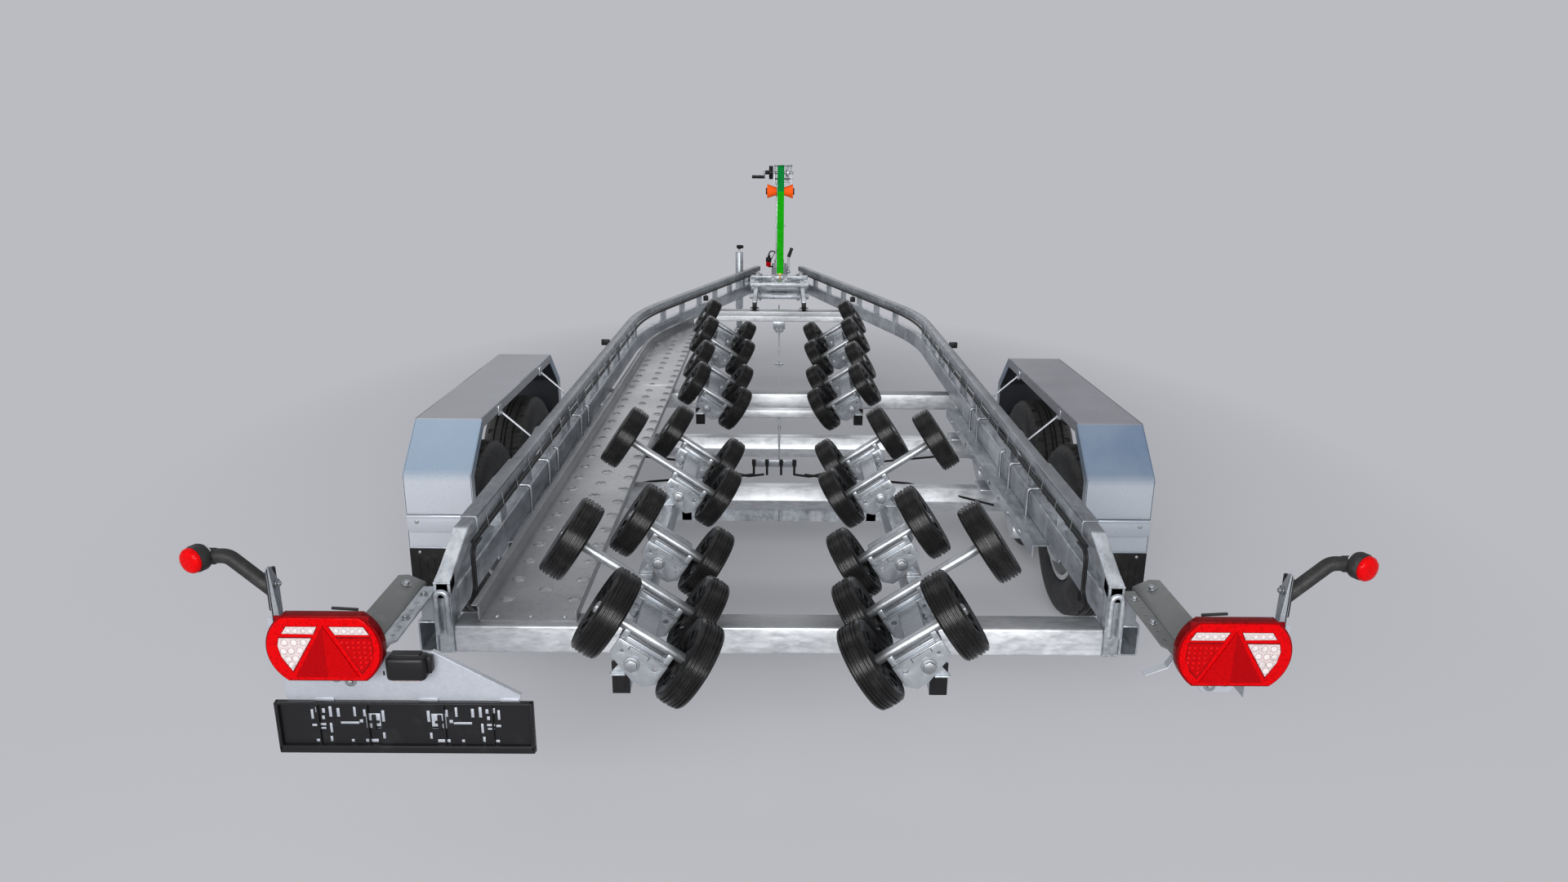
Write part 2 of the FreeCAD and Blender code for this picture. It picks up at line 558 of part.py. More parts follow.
guardMiddle = S.wheelRearY + S.wheelPitch / 2
guardOuter = S.guardInner + S.guardWide
hood = prism("guardHood", "YZ_Plane", guardCorners(0) + guardCorners(S.guardSheet)[::-1],
             S.guardWide, (S.guardInner, 0, 0))
lip = prism("guardLip", "YZ_Plane", guardCorners(S.guardSheet) + guardCorners(S.guardLip)[::-1],
            S.guardSheet, (S.guardInner, 0, 0))
skirt = prism("guardSkirt", "YZ_Plane", guardCorners(S.guardSheet) + guardCorners(S.guardLip)[::-1],
              S.guardSheet, (guardOuter - S.guardSheet, 0, 0))
rearFace = guardMiddle - S.guardTopLong / 2 - S.guardRun
foreFace = guardMiddle + S.guardTopLong / 2 + S.guardRun
strip = box("guardStrip", (S.guardInner, rearFace - S.guardSheet, S.guardBottom), (S.guardWide, S.guardSheet,
                                                                                  S.stripDeep))
guardRun = S.guardInner + S.guardSheet - S.railOuter
stays = [carried(f"guardStay{index}", rod(f"guardStayRod{index}", (0, 0, 0), "x", S.stayRod,
                                          guardRun / cosOf(S.stayLean)),
                 (S.railOuter + S.stayRod * sinOf(S.stayLean), guardMiddle + sign * S.stayInset,
                  S.upperTop - S.upperTall / 2), (0, 1, 0), -S.stayLean) for index, sign in enumerate((-1, 1))]
footZ = S.lowerTop - S.lowerTall - S.channelLip
feet = [box(f"guardFoot{index}", (S.railOuter, y, footZ), (guardRun, S.footWide, S.footSheet))
        for index, y in enumerate((rearFace + S.guardSheet, foreFace - S.guardSheet - S.footWide))]
guard = fuse("mudguardRight", [hood, lip, skirt, strip] + stays + feet)
subpart("mudguards", group("mudguards", [guard, mirrored("mudguardLeft", guard)]))
flap = box("mudflapRight", (S.guardInner + S.guardSheet, rearFace - S.guardSheet - S.flapSheet,
                            S.guardBottom - S.flapLong), (S.guardWide - 2 * S.guardSheet, S.flapSheet,
                                                          S.flapLong + S.stripDeep))
subpart("mudflaps", group("mudflaps", [flap, mirrored("mudflapLeft", flap)]))

# Walkway: folded sheet with raised round holes, on the left side

def walkEdge(inset):
    """Plan corners from the rear to the front end of a line that lies inset from the rail's outer face."""
    start, arc, _ = railEdge(inset)
    return start, arc, (arc[0] - (S.walkFront - arc[1]) * tanOf(S.bendAngle), S.walkFront)


def walkBand(name, inset, wide, tall, z):
    """Strip beside the rail, from inset to inset + wide away from its outer face."""
    outer, inner = walkEdge(inset), walkEdge(inset + wide)
    corners = [(S.railOuter - inset, S.walkRear), outer[0], outer[1], outer[2], inner[2], inner[1][:2],
               inner[0] + (inner[1][2], -1), (S.railOuter - inset - wide, S.walkRear)]
    return prism(name, "XY_Plane", corners, tall, (0, 0, z))


walkInset = S.railOuter - S.walkLeft
walkRight = S.walkLeft - S.walkWide
floorEdge = walkEdge(walkInset)
floorSheet = prism("walkFloor", "XY_Plane", [
    (S.walkLeft, S.walkRear), floorEdge[0], floorEdge[1], floorEdge[2], (walkRight, S.walkFront),
    (walkRight, S.walkRear)], S.walkSheet, (0, 0, S.beamTop))
walkParts = [floorSheet, walkBand("walkOuter", walkInset, S.walkSheet, S.walkFlange, S.beamTop),
             walkBand("walkReturn", walkInset - S.walkReturn, S.walkReturn + S.walkSheet, S.walkSheet,
                      S.beamTop + S.walkFlange - S.walkSheet),
             box("walkInner", (walkRight, S.walkRear, S.beamTop),
                 (S.walkSheet, S.walkFront - S.walkRear, S.walkInner))]
subpart("walkway", mirrored("walkwayLeft", fuse("walkwayRight", walkParts)))

# Roller carriers: two level tubes at the rear and two sloping arms at the middle beam

slopeTangent, slopeCosine = tanOf(S.armSlope), cosOf(S.armSlope)
carrierLeft = S.carrierX - S.carrierWide / 2
underPivot = S.pivotRise - S.carrierTall / 2
rearPivotZ = S.beamTop + S.carrierTall / 2 + S.pivotRise
rearCarrier = box("rearCarrier", (carrierLeft, S.carrierRear, S.beamTop),
                  (S.carrierWide, S.carrierFront - S.carrierRear, S.carrierTall))
axleTop = S.axleZ + S.axleFlats / 2
saddle = box("rearSaddle", (carrierLeft - S.saddleSheet, axleYs[0] - S.saddleLong / 2, axleTop),
             (S.carrierWide + 2 * S.saddleSheet, S.saddleLong, S.beamTop - axleTop))


def inArmFrame(name, part):
    return carried(name, part, (0, S.armY, S.armZ), (1, 0, 0), S.armSlope)


frontArm = inArmFrame("frontArm", box("frontArmTube", (
    carrierLeft, -S.armRearEnd, -(S.pivotRise + S.carrierTall / 2)),
    (S.carrierWide, S.armRearEnd + S.armFrontEnd, S.carrierTall)))


def underArm(y):
    return S.armZ + (y - S.armY) * slopeTangent - (S.pivotRise + S.carrierTall / 2) / slopeCosine


middleFront = S.middleRear + S.beamDeep
armPost = prism("armPost", "YZ_Plane", [
    (S.middleRear, S.beamTop), (middleFront, S.beamTop), (middleFront, underArm(middleFront)),
    (S.middleRear, underArm(S.middleRear))], S.carrierWide, (carrierLeft, 0, 0))

# Rollers in pairs on the axles of their rockers

wallOut = S.plateBack + S.rockerSheet


def wallSpots(reach):
    """Rear faces of a rocker's two walls, along from its pivot's middle."""
    if reach is None:
        return -wallOut, S.singlePitch - wallOut
    return -reach / 2 - wallOut, reach / 2 - wallOut


def rollerPair(name, along, outer):
    """Two rollers on one axle, in the rocker's own frame."""
    half, hub = S.rollerWide / 2, S.rollerHubWide / 2
    shape = [(-hub, S.rollerBore), (hub, S.rollerBore), (hub, S.rollerHub), (half, S.rollerRadius),
             (-half, S.rollerRadius), (-hub, S.rollerHub)]
    return group(name, [turned(f"{name}Inner", shape, (-S.halfSpan, along, S.axleRise)),
                        turned(f"{name}Outer", shape, (outer, along, S.axleRise))])


def axleWith(name, along, outer):
    hub, start, end = S.rollerHubWide / 2 + S.hubGap, -S.halfSpan, outer
    rodStart = start - hub - S.nutLong
    return [
        rod(f"{name}Rod", (rodStart, along, S.axleRise), "x", S.axleRod, end + hub + S.nutLong - rodStart),
        rod(f"{name}Tube", (start + hub, along, S.axleRise), "x", S.axleTube, end - start - 2 * hub),
        rod(f"{name}NutIn", (rodStart, along, S.axleRise), "x", S.nutRadius, S.nutLong),
        rod(f"{name}NutOut", (end + hub, along, S.axleRise), "x", S.nutRadius, S.nutLong)]


def rockerFrame(name, reach, axles):
    walls = wallSpots(reach)
    parts = []
    plate = [(-S.rockerInner, S.rockerTop), (S.rockerOuter, S.rockerTop), (S.rockerOuter, 0),
             (S.rockerSlantOut, -S.rockerSlantUp), (-S.rockerSlantIn, -S.rockerBottom),
             (S.rockerChamfer - S.rockerInner, -S.rockerBottom),
             (-S.rockerInner, S.rockerChamfer - S.rockerBottom)]
    for index, wall in enumerate(walls):
        parts.append(prism(f"{name}Wall{index}", "XZ_Plane", plate, S.rockerSheet, (0, wall, 0), back=True))
        parts.append(box(f"{name}Flange{index}", (-S.rockerInner, wall, S.rockerTop - S.rockerSheet),
                         (S.rockerInner + S.rockerOuter, S.rockerFlange + S.rockerSheet, S.rockerSheet)))
    parts.append(box(f"{name}Web", (-S.rockerSlantIn, walls[0], S.rockerTop - S.rockerSheet),
                     (2 * S.rockerSlantIn, walls[1] - walls[0] + S.rockerSheet, S.rockerSheet)))
    for index, (along, outer) in enumerate(axles):
        parts += axleWith(f"{name}Axle{index}", along, outer)
        for side, u in enumerate((-S.rockerInner, S.rockerOuter - S.saddleWide)):
            parts.append(box(f"{name}Saddle{index}{side}", (u, along - S.axleTube, S.rockerTop),
                             (S.saddleWide, 2 * S.axleTube, S.axleRise - S.rockerTop)))
    hole = rod(f"{name}Hole", (0, walls[0] - S.pinOver, 0), "y", S.pivotBore,
               walls[1] - walls[0] + S.rockerSheet + 2 * S.pinOver)
    return cut(f"{name}Frame", fuse(f"{name}Solid", parts), [hole])


def pivotSet(name, reach):
    """Pin and the two ears that hold a rocker, standing on the carrier, pivot at the origin."""
    walls = wallSpots(reach)
    pinRear = walls[0] - S.pinOver
    parts = [rod(f"{name}Pin", (0, pinRear, 0), "y", S.pivotPin,
                 walls[1] - walls[0] + S.rockerSheet + 2 * S.pinOver)]
    foot = carrierLeft - S.pivotX
    ear = [(foot, -underPivot), (foot + S.earFoot, -underPivot), (S.earHalf, S.earHalf / 2),
           (S.earHalf / 2, S.earHalf), (-S.earHalf, S.earHalf), (-S.earHalf, -S.earHalf / 2)]
    for index, y in enumerate((walls[0] + S.rockerSheet + S.earGap, walls[1] - S.earGap - S.earSheet)):
        parts.append(prism(f"{name}Ear{index}", "XZ_Plane", ear, S.earSheet, (0, y, 0), back=True))
    return fuse(name, parts)


rockerPlan = [
    ("rear_a", S.rearPairY, rearPivotZ, S.rearPitch, [-S.rearPitch / 2, S.rearPitch / 2], 1, False),
    ("rear_b", S.singleY, rearPivotZ + S.singleLift, None, [0], None, False),
    ("rear_c", S.forePairY, rearPivotZ, S.forePitch, [-S.forePitch / 2, S.forePitch / 2], 0, False),
    ("front_a", -S.armSpread, 0, S.armPitch, [-S.armPitch / 2, S.armPitch / 2], None, True),
    ("front_b", S.armSpread, 0, S.armPitch, [-S.armPitch / 2, S.armPitch / 2], None, True),
]
pivotSets = []
for word, along, lift, reach, alongs, longIndex, sloping in rockerPlan:
    spans = [S.longSpan if index == longIndex else S.halfSpan for index in range(len(alongs))]
    local = [(word, rockerFrame(f"{word}Rocker", reach, list(zip(alongs, spans))))]
    for index, (spot, outer) in enumerate(zip(alongs, spans), start=1):
        local.append((f"{word}{index}", rollerPair(f"{word}Roller{index}", spot, outer)))
    for name, part in local:
        leaned = carried(f"{name}Leaned", part, (S.pivotX, along, lift), (0, 1, 0), -S.axleTilt)
        leaned = inArmFrame(f"{name}Sloped", leaned) if sloping else leaned
        kind = "rocker" if name == word else "rollers"
        subpart(f"{kind}_{name}_right", leaned)
        subpart(f"{kind}_{name}_left", mirrored(f"{name}Left", leaned))
    ears = carried(f"{word}Pivot", pivotSet(f"{word}PivotSet", reach), (S.pivotX, along, lift))
    pivotSets.append(inArmFrame(f"{word}PivotSloped", ears) if sloping else ears)

rearLift = box("singleRiser", (carrierLeft, S.singleY - wallOut, S.beamTop + S.carrierTall),
               (S.carrierWide, S.singlePitch, S.singleLift))
rearRight = fuse("rearCarrierRight", [rearCarrier, saddle, rearLift] + pivotSets[:3])
frontRight = fuse("frontArmRight", [frontArm, armPost] + pivotSets[3:])
tieRear = axleYs[0] - S.axleFlats / 2 / cosOf(30) - S.tieGap - S.tieDeep
tieTop = S.axleZ - S.tieDrop
axleTie = [box("axleTie", (-S.tieHalf, tieRear, tieTop - S.tieTall), (2 * S.tieHalf, S.tieDeep, S.tieTall))]
for index, x in enumerate((carrierLeft, -carrierLeft - S.carrierWide)):
    axleTie.append(box(f"tieHanger{index}", (x, tieRear, tieTop - S.tieTall),
                       (S.carrierWide, S.tieDeep, S.beamTop - tieTop + S.tieTall)))
subpart("roller_carriers", group("rollerCarriers", [
    fuse("rearCarriers", [rearRight, mirrored("rearCarrierLeft", rearRight)] + axleTie),
    frontRight, mirrored("frontArmLeft", frontRight)]))

# Winch stand: two bearers, clamp bars, post with the winch's side plates, hook

bearerLeft = S.bearerX - S.bearerWide / 2
bearers = [box(f"bearer{index}", (x, S.frontRear, S.frontTop), (S.bearerWide, S.bearerFront - S.frontRear,
                                                               S.bearerTall))
           for index, x in enumerate((bearerLeft, -bearerLeft - S.bearerWide))]
bearerTop = S.frontTop + S.bearerTall
stand = list(bearers)
for index, clampY in enumerate((S.clampRearY, S.clampForeY)):
    for level, z in (("Upper", bearerTop), ("Lower", S.frontTop - S.clampTall)):
        stand.append(box(f"clamp{level}{index}", (-S.clampHalf, clampY - S.clampDeep / 2, z),
                         (2 * S.clampHalf, S.clampDeep, S.clampTall)))
    for side, sign in enumerate((-1, 1)):
        boltX = sign * (S.bearerX - S.bearerWide)
        stand.append(rod(f"clampBolt{index}{side}", (boltX, clampY, S.frontTop - S.clampTall), "z",
                         S.clampBolt, S.bearerTall + 2 * S.clampTall))
baseZ = bearerTop + S.clampTall
stand.append(box("postBase", (-S.baseHalf, S.clampRearY - S.clampDeep / 2, baseZ),
                 (2 * S.baseHalf, S.clampForeY - S.clampRearY + S.clampDeep, S.basePlate)))
postRear = S.postY - S.postWidth / 2
stand.append(box("winchColumn", (-S.postWidth / 2, postRear, baseZ), (S.postWidth, S.postWidth,
                                                                     S.postTop - baseZ)))
stand.append(box("winchBed", (S.winchLeft, S.drumY - S.bedRear, S.postTop),
                 (S.winchRight - S.winchLeft, S.bedRear + S.winchFront, S.winchSheet)))
sideOutline = [(S.drumY - S.winchRear, S.postTop), (S.drumY + S.winchFront, S.postTop),
               (S.drumY + S.winchFront, S.drumZ + S.crankRise), (S.drumY + S.winchRear / 2, S.winchTop),
               (S.drumY - S.winchRear / 2, S.winchTop), (S.drumY - S.winchRear, S.drumZ)]
crankY = S.drumY + (S.gearRadius + S.pinionRadius + S.meshGap)
crankZ = S.drumZ
for word, x in (("Left", S.winchLeft - S.winchSheet), ("Right", S.winchRight)):
    plate = prism(f"winchSide{word}", "YZ_Plane", sideOutline, S.winchSheet, (x, 0, 0))
    holes = [rod(f"winchHole{word}{index}", (x - S.winchSheet, y, z), "x", S.shaftBore, 3 * S.winchSheet)
             for index, (y, z) in enumerate(((S.drumY, S.drumZ), (crankY, crankZ)))]
    stand.append(cut(f"winchPlate{word}", plate, holes))
stand.append(box("bowArm", (-S.bowArmHalf, S.bowY - S.bowArmBack, S.bowZ - S.bowArmTall / 2),
                 (2 * S.bowArmHalf, postRear - S.bowY + S.bowArmBack, S.bowArmTall)))
bowEnd = S.bowHalf + S.bowCapLong
stand.append(rod("bowPin", (-bowEnd, S.bowY, S.bowZ), "x", S.bowPin, 2 * bowEnd))
lugZ = baseZ + S.basePlate
ring = doc.addObject("Part::Torus", "hookRing")
bind(ring, "Radius1", S.hookRing)
bind(ring, "Radius2", S.hookRod)
place(ring, (S.strapX, S.strapFootY, S.strapFootZ - S.hookRing - S.hookRod), (1, 0, 0), 90)
stand.append(box("strapLug", (S.strapX - S.lugSheet / 2, S.strapFootY - S.hookRod * 2, lugZ),
                 (S.lugSheet, postRear - S.strapFootY + S.hookRod * 2,
                  S.strapFootZ - S.hookRing - lugZ - S.hookRod)))
stand.append(ring)
subpart("winch_post", fuse("winchPost", stand))


def disc(name, x, radius, long, y, z):
    return rod(name, (x, y, z), "x", radius, long)


drumLong = S.drumRight - S.drumLeft
shaftStart = S.winchLeft - S.winchSheet - S.shaftOver
shaftLong = S.winchRight + S.winchSheet + S.shaftOver - shaftStart
drum = fuse("winchDrum", [
    disc("drumShaft", shaftStart, S.drumShaft, shaftLong, S.drumY, S.drumZ),
    disc("drumFlangeLeft", S.drumLeft, S.flangeRadius, S.flangeSheet, S.drumY, S.drumZ),
    disc("drumFlangeRight", S.drumRight - S.flangeSheet, S.flangeRadius, S.flangeSheet, S.drumY, S.drumZ),
    disc("strapCoil", S.strapX - S.strapWide / 2, S.strapRoll, S.strapWide, S.drumY, S.drumZ),
    disc("drumCore", S.drumLeft, S.strapRoll / 2, S.gearX - S.drumLeft, S.drumY, S.drumZ),
    disc("drumGear", S.gearX, S.gearRadius, S.gearThick, S.drumY, S.drumZ)])
subpart("winch_drum", drum)
hubX = S.winchLeft - S.winchSheet - S.crankHubGap - S.crankHubLong
armX = hubX - S.crankNeck
crankParts = [
    disc("crankShaft", armX, S.drumShaft, S.winchRight + S.winchSheet + S.shaftOver - armX, crankY, crankZ),
    disc("crankPinion", S.gearX, S.pinionRadius, S.gearThick, crankY, crankZ),
    disc("crankHub", hubX, S.crankHub, S.crankHubLong, crankY, crankZ),
    carried("crankBarTurned", box("crankBar", (-S.crankSheet / 2, -S.crankBar / 2, -S.crankBar / 2),
                                  (S.crankSheet, S.crankArm + S.crankBar, S.crankBar)),
            (armX, crankY, crankZ), (1, 0, 0), -S.crankLean),
    disc("crankGrip", armX - S.gripLong, S.gripRadius, S.gripLong,
         crankY + S.crankArm * cosOf(S.crankLean), crankZ - S.crankArm * sinOf(S.crankLean))]
subpart("winch_crank", fuse("winchCrank", crankParts))

tangentY = S.bowY - S.bowWaist - S.strapGap
coilY = S.drumY - S.strapRoll - S.strapGap
strap = prism("winchStrap", "YZ_Plane", [
    (coilY, S.drumZ), (tangentY, S.bowZ), (S.strapFootY, S.strapFootZ),
    (S.strapFootY - S.strapSheet, S.strapFootZ), (tangentY - S.strapSheet, S.bowZ),
    (coilY - S.strapSheet, S.drumZ)], S.strapWide, (S.strapX - S.strapWide / 2, 0, 0))
subpart("winch_strap", strap)
bowCone = turned("bowCone", [(S.bowInner, S.bowBore), (bowEnd, S.bowBore), (bowEnd, S.bowCap),
                             (S.bowHalf, S.bowCap), (S.bowHalf, S.bowRadius), (S.bowInner, S.bowWaist)],
                 (0, S.bowY, S.bowZ))
subpart("bow_roller", group("bowRoller", [bowCone, mirrored("bowConeLeft", bowCone)]))

# Coupling: head plates on the rails, overrun housing, bellows, head with ball socket, handle, lever

housingTop = S.drawZ + S.housingTall / 2
frontOuter = railEdge()[2][0]
plateRear = S.railFront - S.headPlateLong
plateHalf = frontOuter + S.headPlateLong * tanOf(S.bendAngle)
headPlateZ = S.lowerTop - S.lowerTall - S.headPlate
headPlate = prism("headPlate", "XY_Plane", [
    (-plateHalf, plateRear), (plateHalf, plateRear), (frontOuter, S.railFront), (-frontOuter, S.railFront)],
    S.headPlate, (0, 0, headPlateZ))
housing = box("overrunHousing", (-S.housingWide / 2, S.housingRear, S.drawZ - S.housingTall / 2),
              (S.housingWide, S.housingLong, S.housingTall))
housingFront = S.housingRear + S.housingLong
frontPlate = box("frontPlate", (-frontOuter, S.railFront, headPlateZ),
                 (2 * frontOuter, S.headPlate, S.upperTop - headPlateZ))
ribPitch = S.bellowsLong / S.bellowsRibs
bellowsOutline = [(0, 0), (0, S.bellowsRoot)]
for index in range(int(number(S.bellowsRibs))):
    bellowsOutline += [((index + 0.5) * ribPitch, S.bellowsRadius), ((index + 1) * ribPitch, S.bellowsRoot)]
bellowsOutline += [(S.bellowsLong, 0)]
bellows = turned("bellows", bellowsOutline, (0, housingFront, S.drawZ), (0, 0, 1), 90)
headRear = S.noseY - S.headLong
drawTube = rod("drawTube", (0, housingFront, S.drawZ), "y", S.drawRadius, headRear - housingFront + S.drawRadius)
ballY = S.noseY - S.headWide / 2
headBottom = S.drawZ - S.headTall / 2
head = fuse("headSolid", [
    rod("headNose", (0, ballY, headBottom), "z", S.headWide / 2, S.headTall),
    box("headNeck", (-S.neckHalf, headRear, headBottom + S.neckLift),
        (2 * S.neckHalf, ballY - headRear, S.neckTall))])
socket = rod("ballSocket", (0, ballY, headBottom - S.socketDeep), "z", S.ballRadius, 2 * S.socketDeep)
handle = prism("couplingHandle", "YZ_Plane", [
    (headRear, S.drawZ + S.headTall / 2), (ballY, S.drawZ + S.headTall / 2),
    (ballY, S.drawZ + S.headTall / 2 + S.handleRise), (headRear, S.drawZ + S.headTall / 2 + S.handleRise),
    (headRear - S.handleLong, S.drawZ + S.headTall / 2 + S.handleLift),
    (headRear - S.handleLong, S.drawZ + S.headTall / 2 + S.handleRise)],
    S.handleBar, (-S.handleBar / 2, 0, 0))
lever = carried("leverLeaned", fuse("leverBar", [
    rod("leverShaft", (0, 0, 0), "z", S.leverRadius, S.leverLong),
    rod("leverGrip", (0, 0, S.leverLong - S.leverGripLong), "z", S.leverGrip, S.leverGripLong)]),
    (S.leverX, S.leverY, S.drawZ), (1, 0, 0), -S.leverLean)
leverRoot = box("leverRoot", (S.housingWide / 2, S.leverY - S.leverGrip, S.drawZ - S.leverGrip),
                (S.leverX - S.housingWide / 2 + S.leverRadius, 2 * S.leverGrip, 2 * S.leverGrip))
subpart("coupling", cut("coupling", fuse("couplingSolid", [
    headPlate, housing, frontPlate, bellows, drawTube, head, handle, lever, leverRoot]), [socket]))

# Jockey wheel: clamp and mast, sliding leg, swivelling fork, wheel

jockeyBase = (S.jockeyX, S.jockeyY)
mastHole = rod("mastHole", jockeyBase + (S.jockeyBottom - S.jockeyWall,), "z", S.jockeyTube - S.jockeyWall,
               S.jockeyTop - S.jockeyBottom)
mastTube = cut("mastTube", rod("mastOuter", jockeyBase + (S.jockeyBottom,), "z", S.jockeyTube,
                               S.jockeyTop - S.jockeyBottom), [mastHole])
collar = cut("mastCollar", rod("collarOuter", jockeyBase + (S.jockeyBottom,), "z", S.jockeyTube, S.collarTall),
             [rod("collarHole", jockeyBase + (S.jockeyBottom - S.collarTall,), "z", S.legBore,
                  3 * S.collarTall)])
mountY = S.jockeyY - S.bandTall / 2
railAt = frontOuter + (S.railFront - mountY) * tanOf(S.bendAngle)
mastBand = cut("mastBand", fuse("bandSolid", [
    rod("bandRing", jockeyBase + (S.bandZ - S.bandTall / 2,), "z", S.jockeyTube + S.bandSheet, S.bandTall),
    box("bandArm", (S.jockeyX, mountY, S.bandZ - S.bandTall / 2),
        (-railAt + S.chordWide / 2 - S.jockeyX, S.bandTall, S.bandTall))]), [
    rod("bandHole", jockeyBase + (S.bandZ - S.bandTall,), "z", S.jockeyTube - S.jockeyWall, 2 * S.bandTall)])
railAtFore = frontOuter + (S.railFront - S.jockeyY - S.bandTall / 2) * tanOf(S.bendAngle)
bandTrim = prism("bandTrim", "XY_Plane", [
    (-railAt, mountY), (-railAtFore, S.jockeyY + S.bandTall / 2), (0, S.jockeyY + S.bandTall / 2), (0, mountY)],
    2 * S.bandTall, (0, 0, S.bandZ - S.bandTall))
mastParts = [mastTube, collar, cut("bandCut", mastBand, [bandTrim]),
             rod("mastSpindle", jockeyBase + (S.jockeyTop - S.jockeyWall,), "z", S.spindle,
                 S.spindleTall + S.jockeyWall),
             rod("mastCap", jockeyBase + (S.jockeyTop - S.jockeyWall,), "z", S.jockeyTube, S.jockeyWall * 2),
             rod("mastKnob", jockeyBase + (S.jockeyTop + S.spindleTall,), "z", S.knobRadius, S.knobTall)]
subpart("jockey_mast", fuse("jockeyMast", mastParts))
leg = fuse("jockeyLeg", [
    rod("legTube", jockeyBase + (S.legBottom,), "z", S.legTube, S.legTop - S.legBottom),
    rod("legPin", jockeyBase + (S.legBottom - S.crownTall - S.swivelGap,), "z", S.swivelPin,
        S.crownTall + S.swivelGap)])
subpart("jockey_leg", leg)
crownTop = S.legBottom - S.swivelGap
forkX = S.jockeyWide / 2 + S.forkGap
wheelSpot = (S.jockeyX, S.jockeyY - S.jockeyTrail, S.jockeyWheel)
forkSides = [prism(f"forkSide{index}", "YZ_Plane", [
    (S.jockeyY - S.jockeyTrail - S.jockeyHub, S.jockeyWheel - S.jockeyHub),
    (S.jockeyY - S.jockeyTrail + S.jockeyHub, S.jockeyWheel - S.jockeyHub),
    (S.jockeyY + S.jockeyTube, crownTop - S.crownTall), (S.jockeyY + S.jockeyTube, crownTop),
    (S.jockeyY - S.jockeyTube, crownTop)], S.forkSheet, (x, 0, 0))
    for index, x in enumerate((S.jockeyX - forkX - S.forkSheet, S.jockeyX + forkX))]
crown = box("forkCrown", (S.jockeyX - forkX, S.jockeyY - S.jockeyTube, crownTop - S.crownTall),
            (2 * forkX, 2 * S.jockeyTube, S.crownTall))
fork = cut("jockeyFork", fuse("forkSolid", forkSides + [crown, rod(
    "forkAxle", (S.jockeyX - forkX, wheelSpot[1], wheelSpot[2]), "x", S.jockeyAxle, 2 * forkX)]), [
    rod("forkHole", jockeyBase + (crownTop - 2 * S.crownTall,), "z", S.swivelBore, 3 * S.crownTall)])
subpart("jockey_fork", fork)
half = S.jockeyWide / 2
subpart("jockey_wheel", turned("jockeyWheel", [
    (-half, S.jockeyBore), (half, S.jockeyBore), (half, S.jockeyHub), (S.jockeyWeb, S.jockeyHub),
    (S.jockeyWeb, S.jockeyRing), (S.jockeyBulge, S.jockeyShoulder), (S.jockeyTread, S.jockeyWheel),
    (-S.jockeyTread, S.jockeyWheel), (-S.jockeyBulge, S.jockeyShoulder), (-S.jockeyWeb, S.jockeyRing),
    (-S.jockeyWeb, S.jockeyHub), (-half, S.jockeyHub)], wheelSpot))

# Lamp arms, lamps, number plate holder

lampRear = -S.noseY
lampFace = lampRear + S.lampDeep
stripFront = S.frameRear + S.stubLong
outerX, outerZ = S.armX + S.armTopWide, S.stripZ + S.armTopRise
armSection = [
    (S.armX, S.stripZ - S.armLeg), (S.armX + S.armSheet, S.stripZ - S.armLeg), (S.armX + S.armSheet, S.stripZ),
    (outerX - S.armSheet, outerZ), (outerX - S.armSheet, outerZ - S.armLeg), (outerX, outerZ - S.armLeg),
    (outerX, outerZ + S.armSheet), (S.armX, S.stripZ + S.armSheet)]
armChannel = prism("lampArm", "XZ_Plane", armSection, stripFront - lampFace, (0, stripFront, 0))
strip = box("lampStrip", (S.railOuter, S.frameRear - S.stubLong, S.stripZ - S.stripSheet),
            (S.armX + S.armSheet - S.railOuter, 2 * S.stubLong, S.stripSheet))
stripPost = box("stripPost", (S.railOuter, S.frameRear, S.stubTop),
                (S.armX - S.railOuter, S.stubLong, S.stripZ - S.stripSheet - S.stubTop))
backLeft = S.armX - S.backInset
backLow = S.lampZ - S.lampTall / 2 - S.armLeg
lampBack = prism("lampBack", "XZ_Plane", [
    (S.armX, backLow), (outerX, backLow), (backLeft + S.backWide, S.lampZ - S.backHalf),
    (backLeft + S.backWide, S.lampZ + S.backHalf), (backLeft, S.lampZ + S.backHalf),
    (backLeft, S.lampZ - S.backHalf)], S.armSheet, (0, lampFace, 0), back=True)
armRight = fuse("lampArmRight", [armChannel, strip, stripPost, lampBack])
plateTop = S.plateZ + S.plateTall / 2
sheetLeft = S.plateX - S.plateWide / 2
holderSheet = prism("holderSheet", "XZ_Plane", [
    (S.sheetOuter, S.plateZ), (S.sheetInner, S.plateZ), (S.sheetInner, plateTop + S.sheetRise),
    (S.sheetKnee, S.sheetTop), (S.sheetOuter, S.sheetTop)],
    S.armSheet, (0, lampFace, 0), back=True)
armLeft = fuse("lampArmLeft", [mirrored("lampArmMirror", armRight), holderSheet])
subpart("light_arms", group("lightArms", [armRight, armLeft]))
flatLeft, flatRight = S.lampX - S.lampFlat / 2, S.lampX + S.lampFlat / 2
lampLow, lampHigh = S.lampZ - S.lampTall / 2, S.lampZ + S.lampTall / 2
lampBody = prism("lampBody", "XZ_Plane", [
    (flatLeft, lampLow, S.lampRound, 1), (flatRight, lampLow), (flatRight, lampHigh, S.lampRound, 1),
    (flatLeft, lampHigh)], S.lampDeep, (0, lampRear, 0), back=True)
markerArm = prism("markerArm", "XZ_Plane", [
    (S.markerRoot, S.markerRootZ - S.markerRod), (S.markerX, S.markerZ - S.markerRod / 2),
    (S.markerX, S.markerZ + S.markerRod / 2), (S.markerRoot, S.markerRootZ + S.markerRod)],
    S.markerRod, (0, lampFace, 0), back=True)
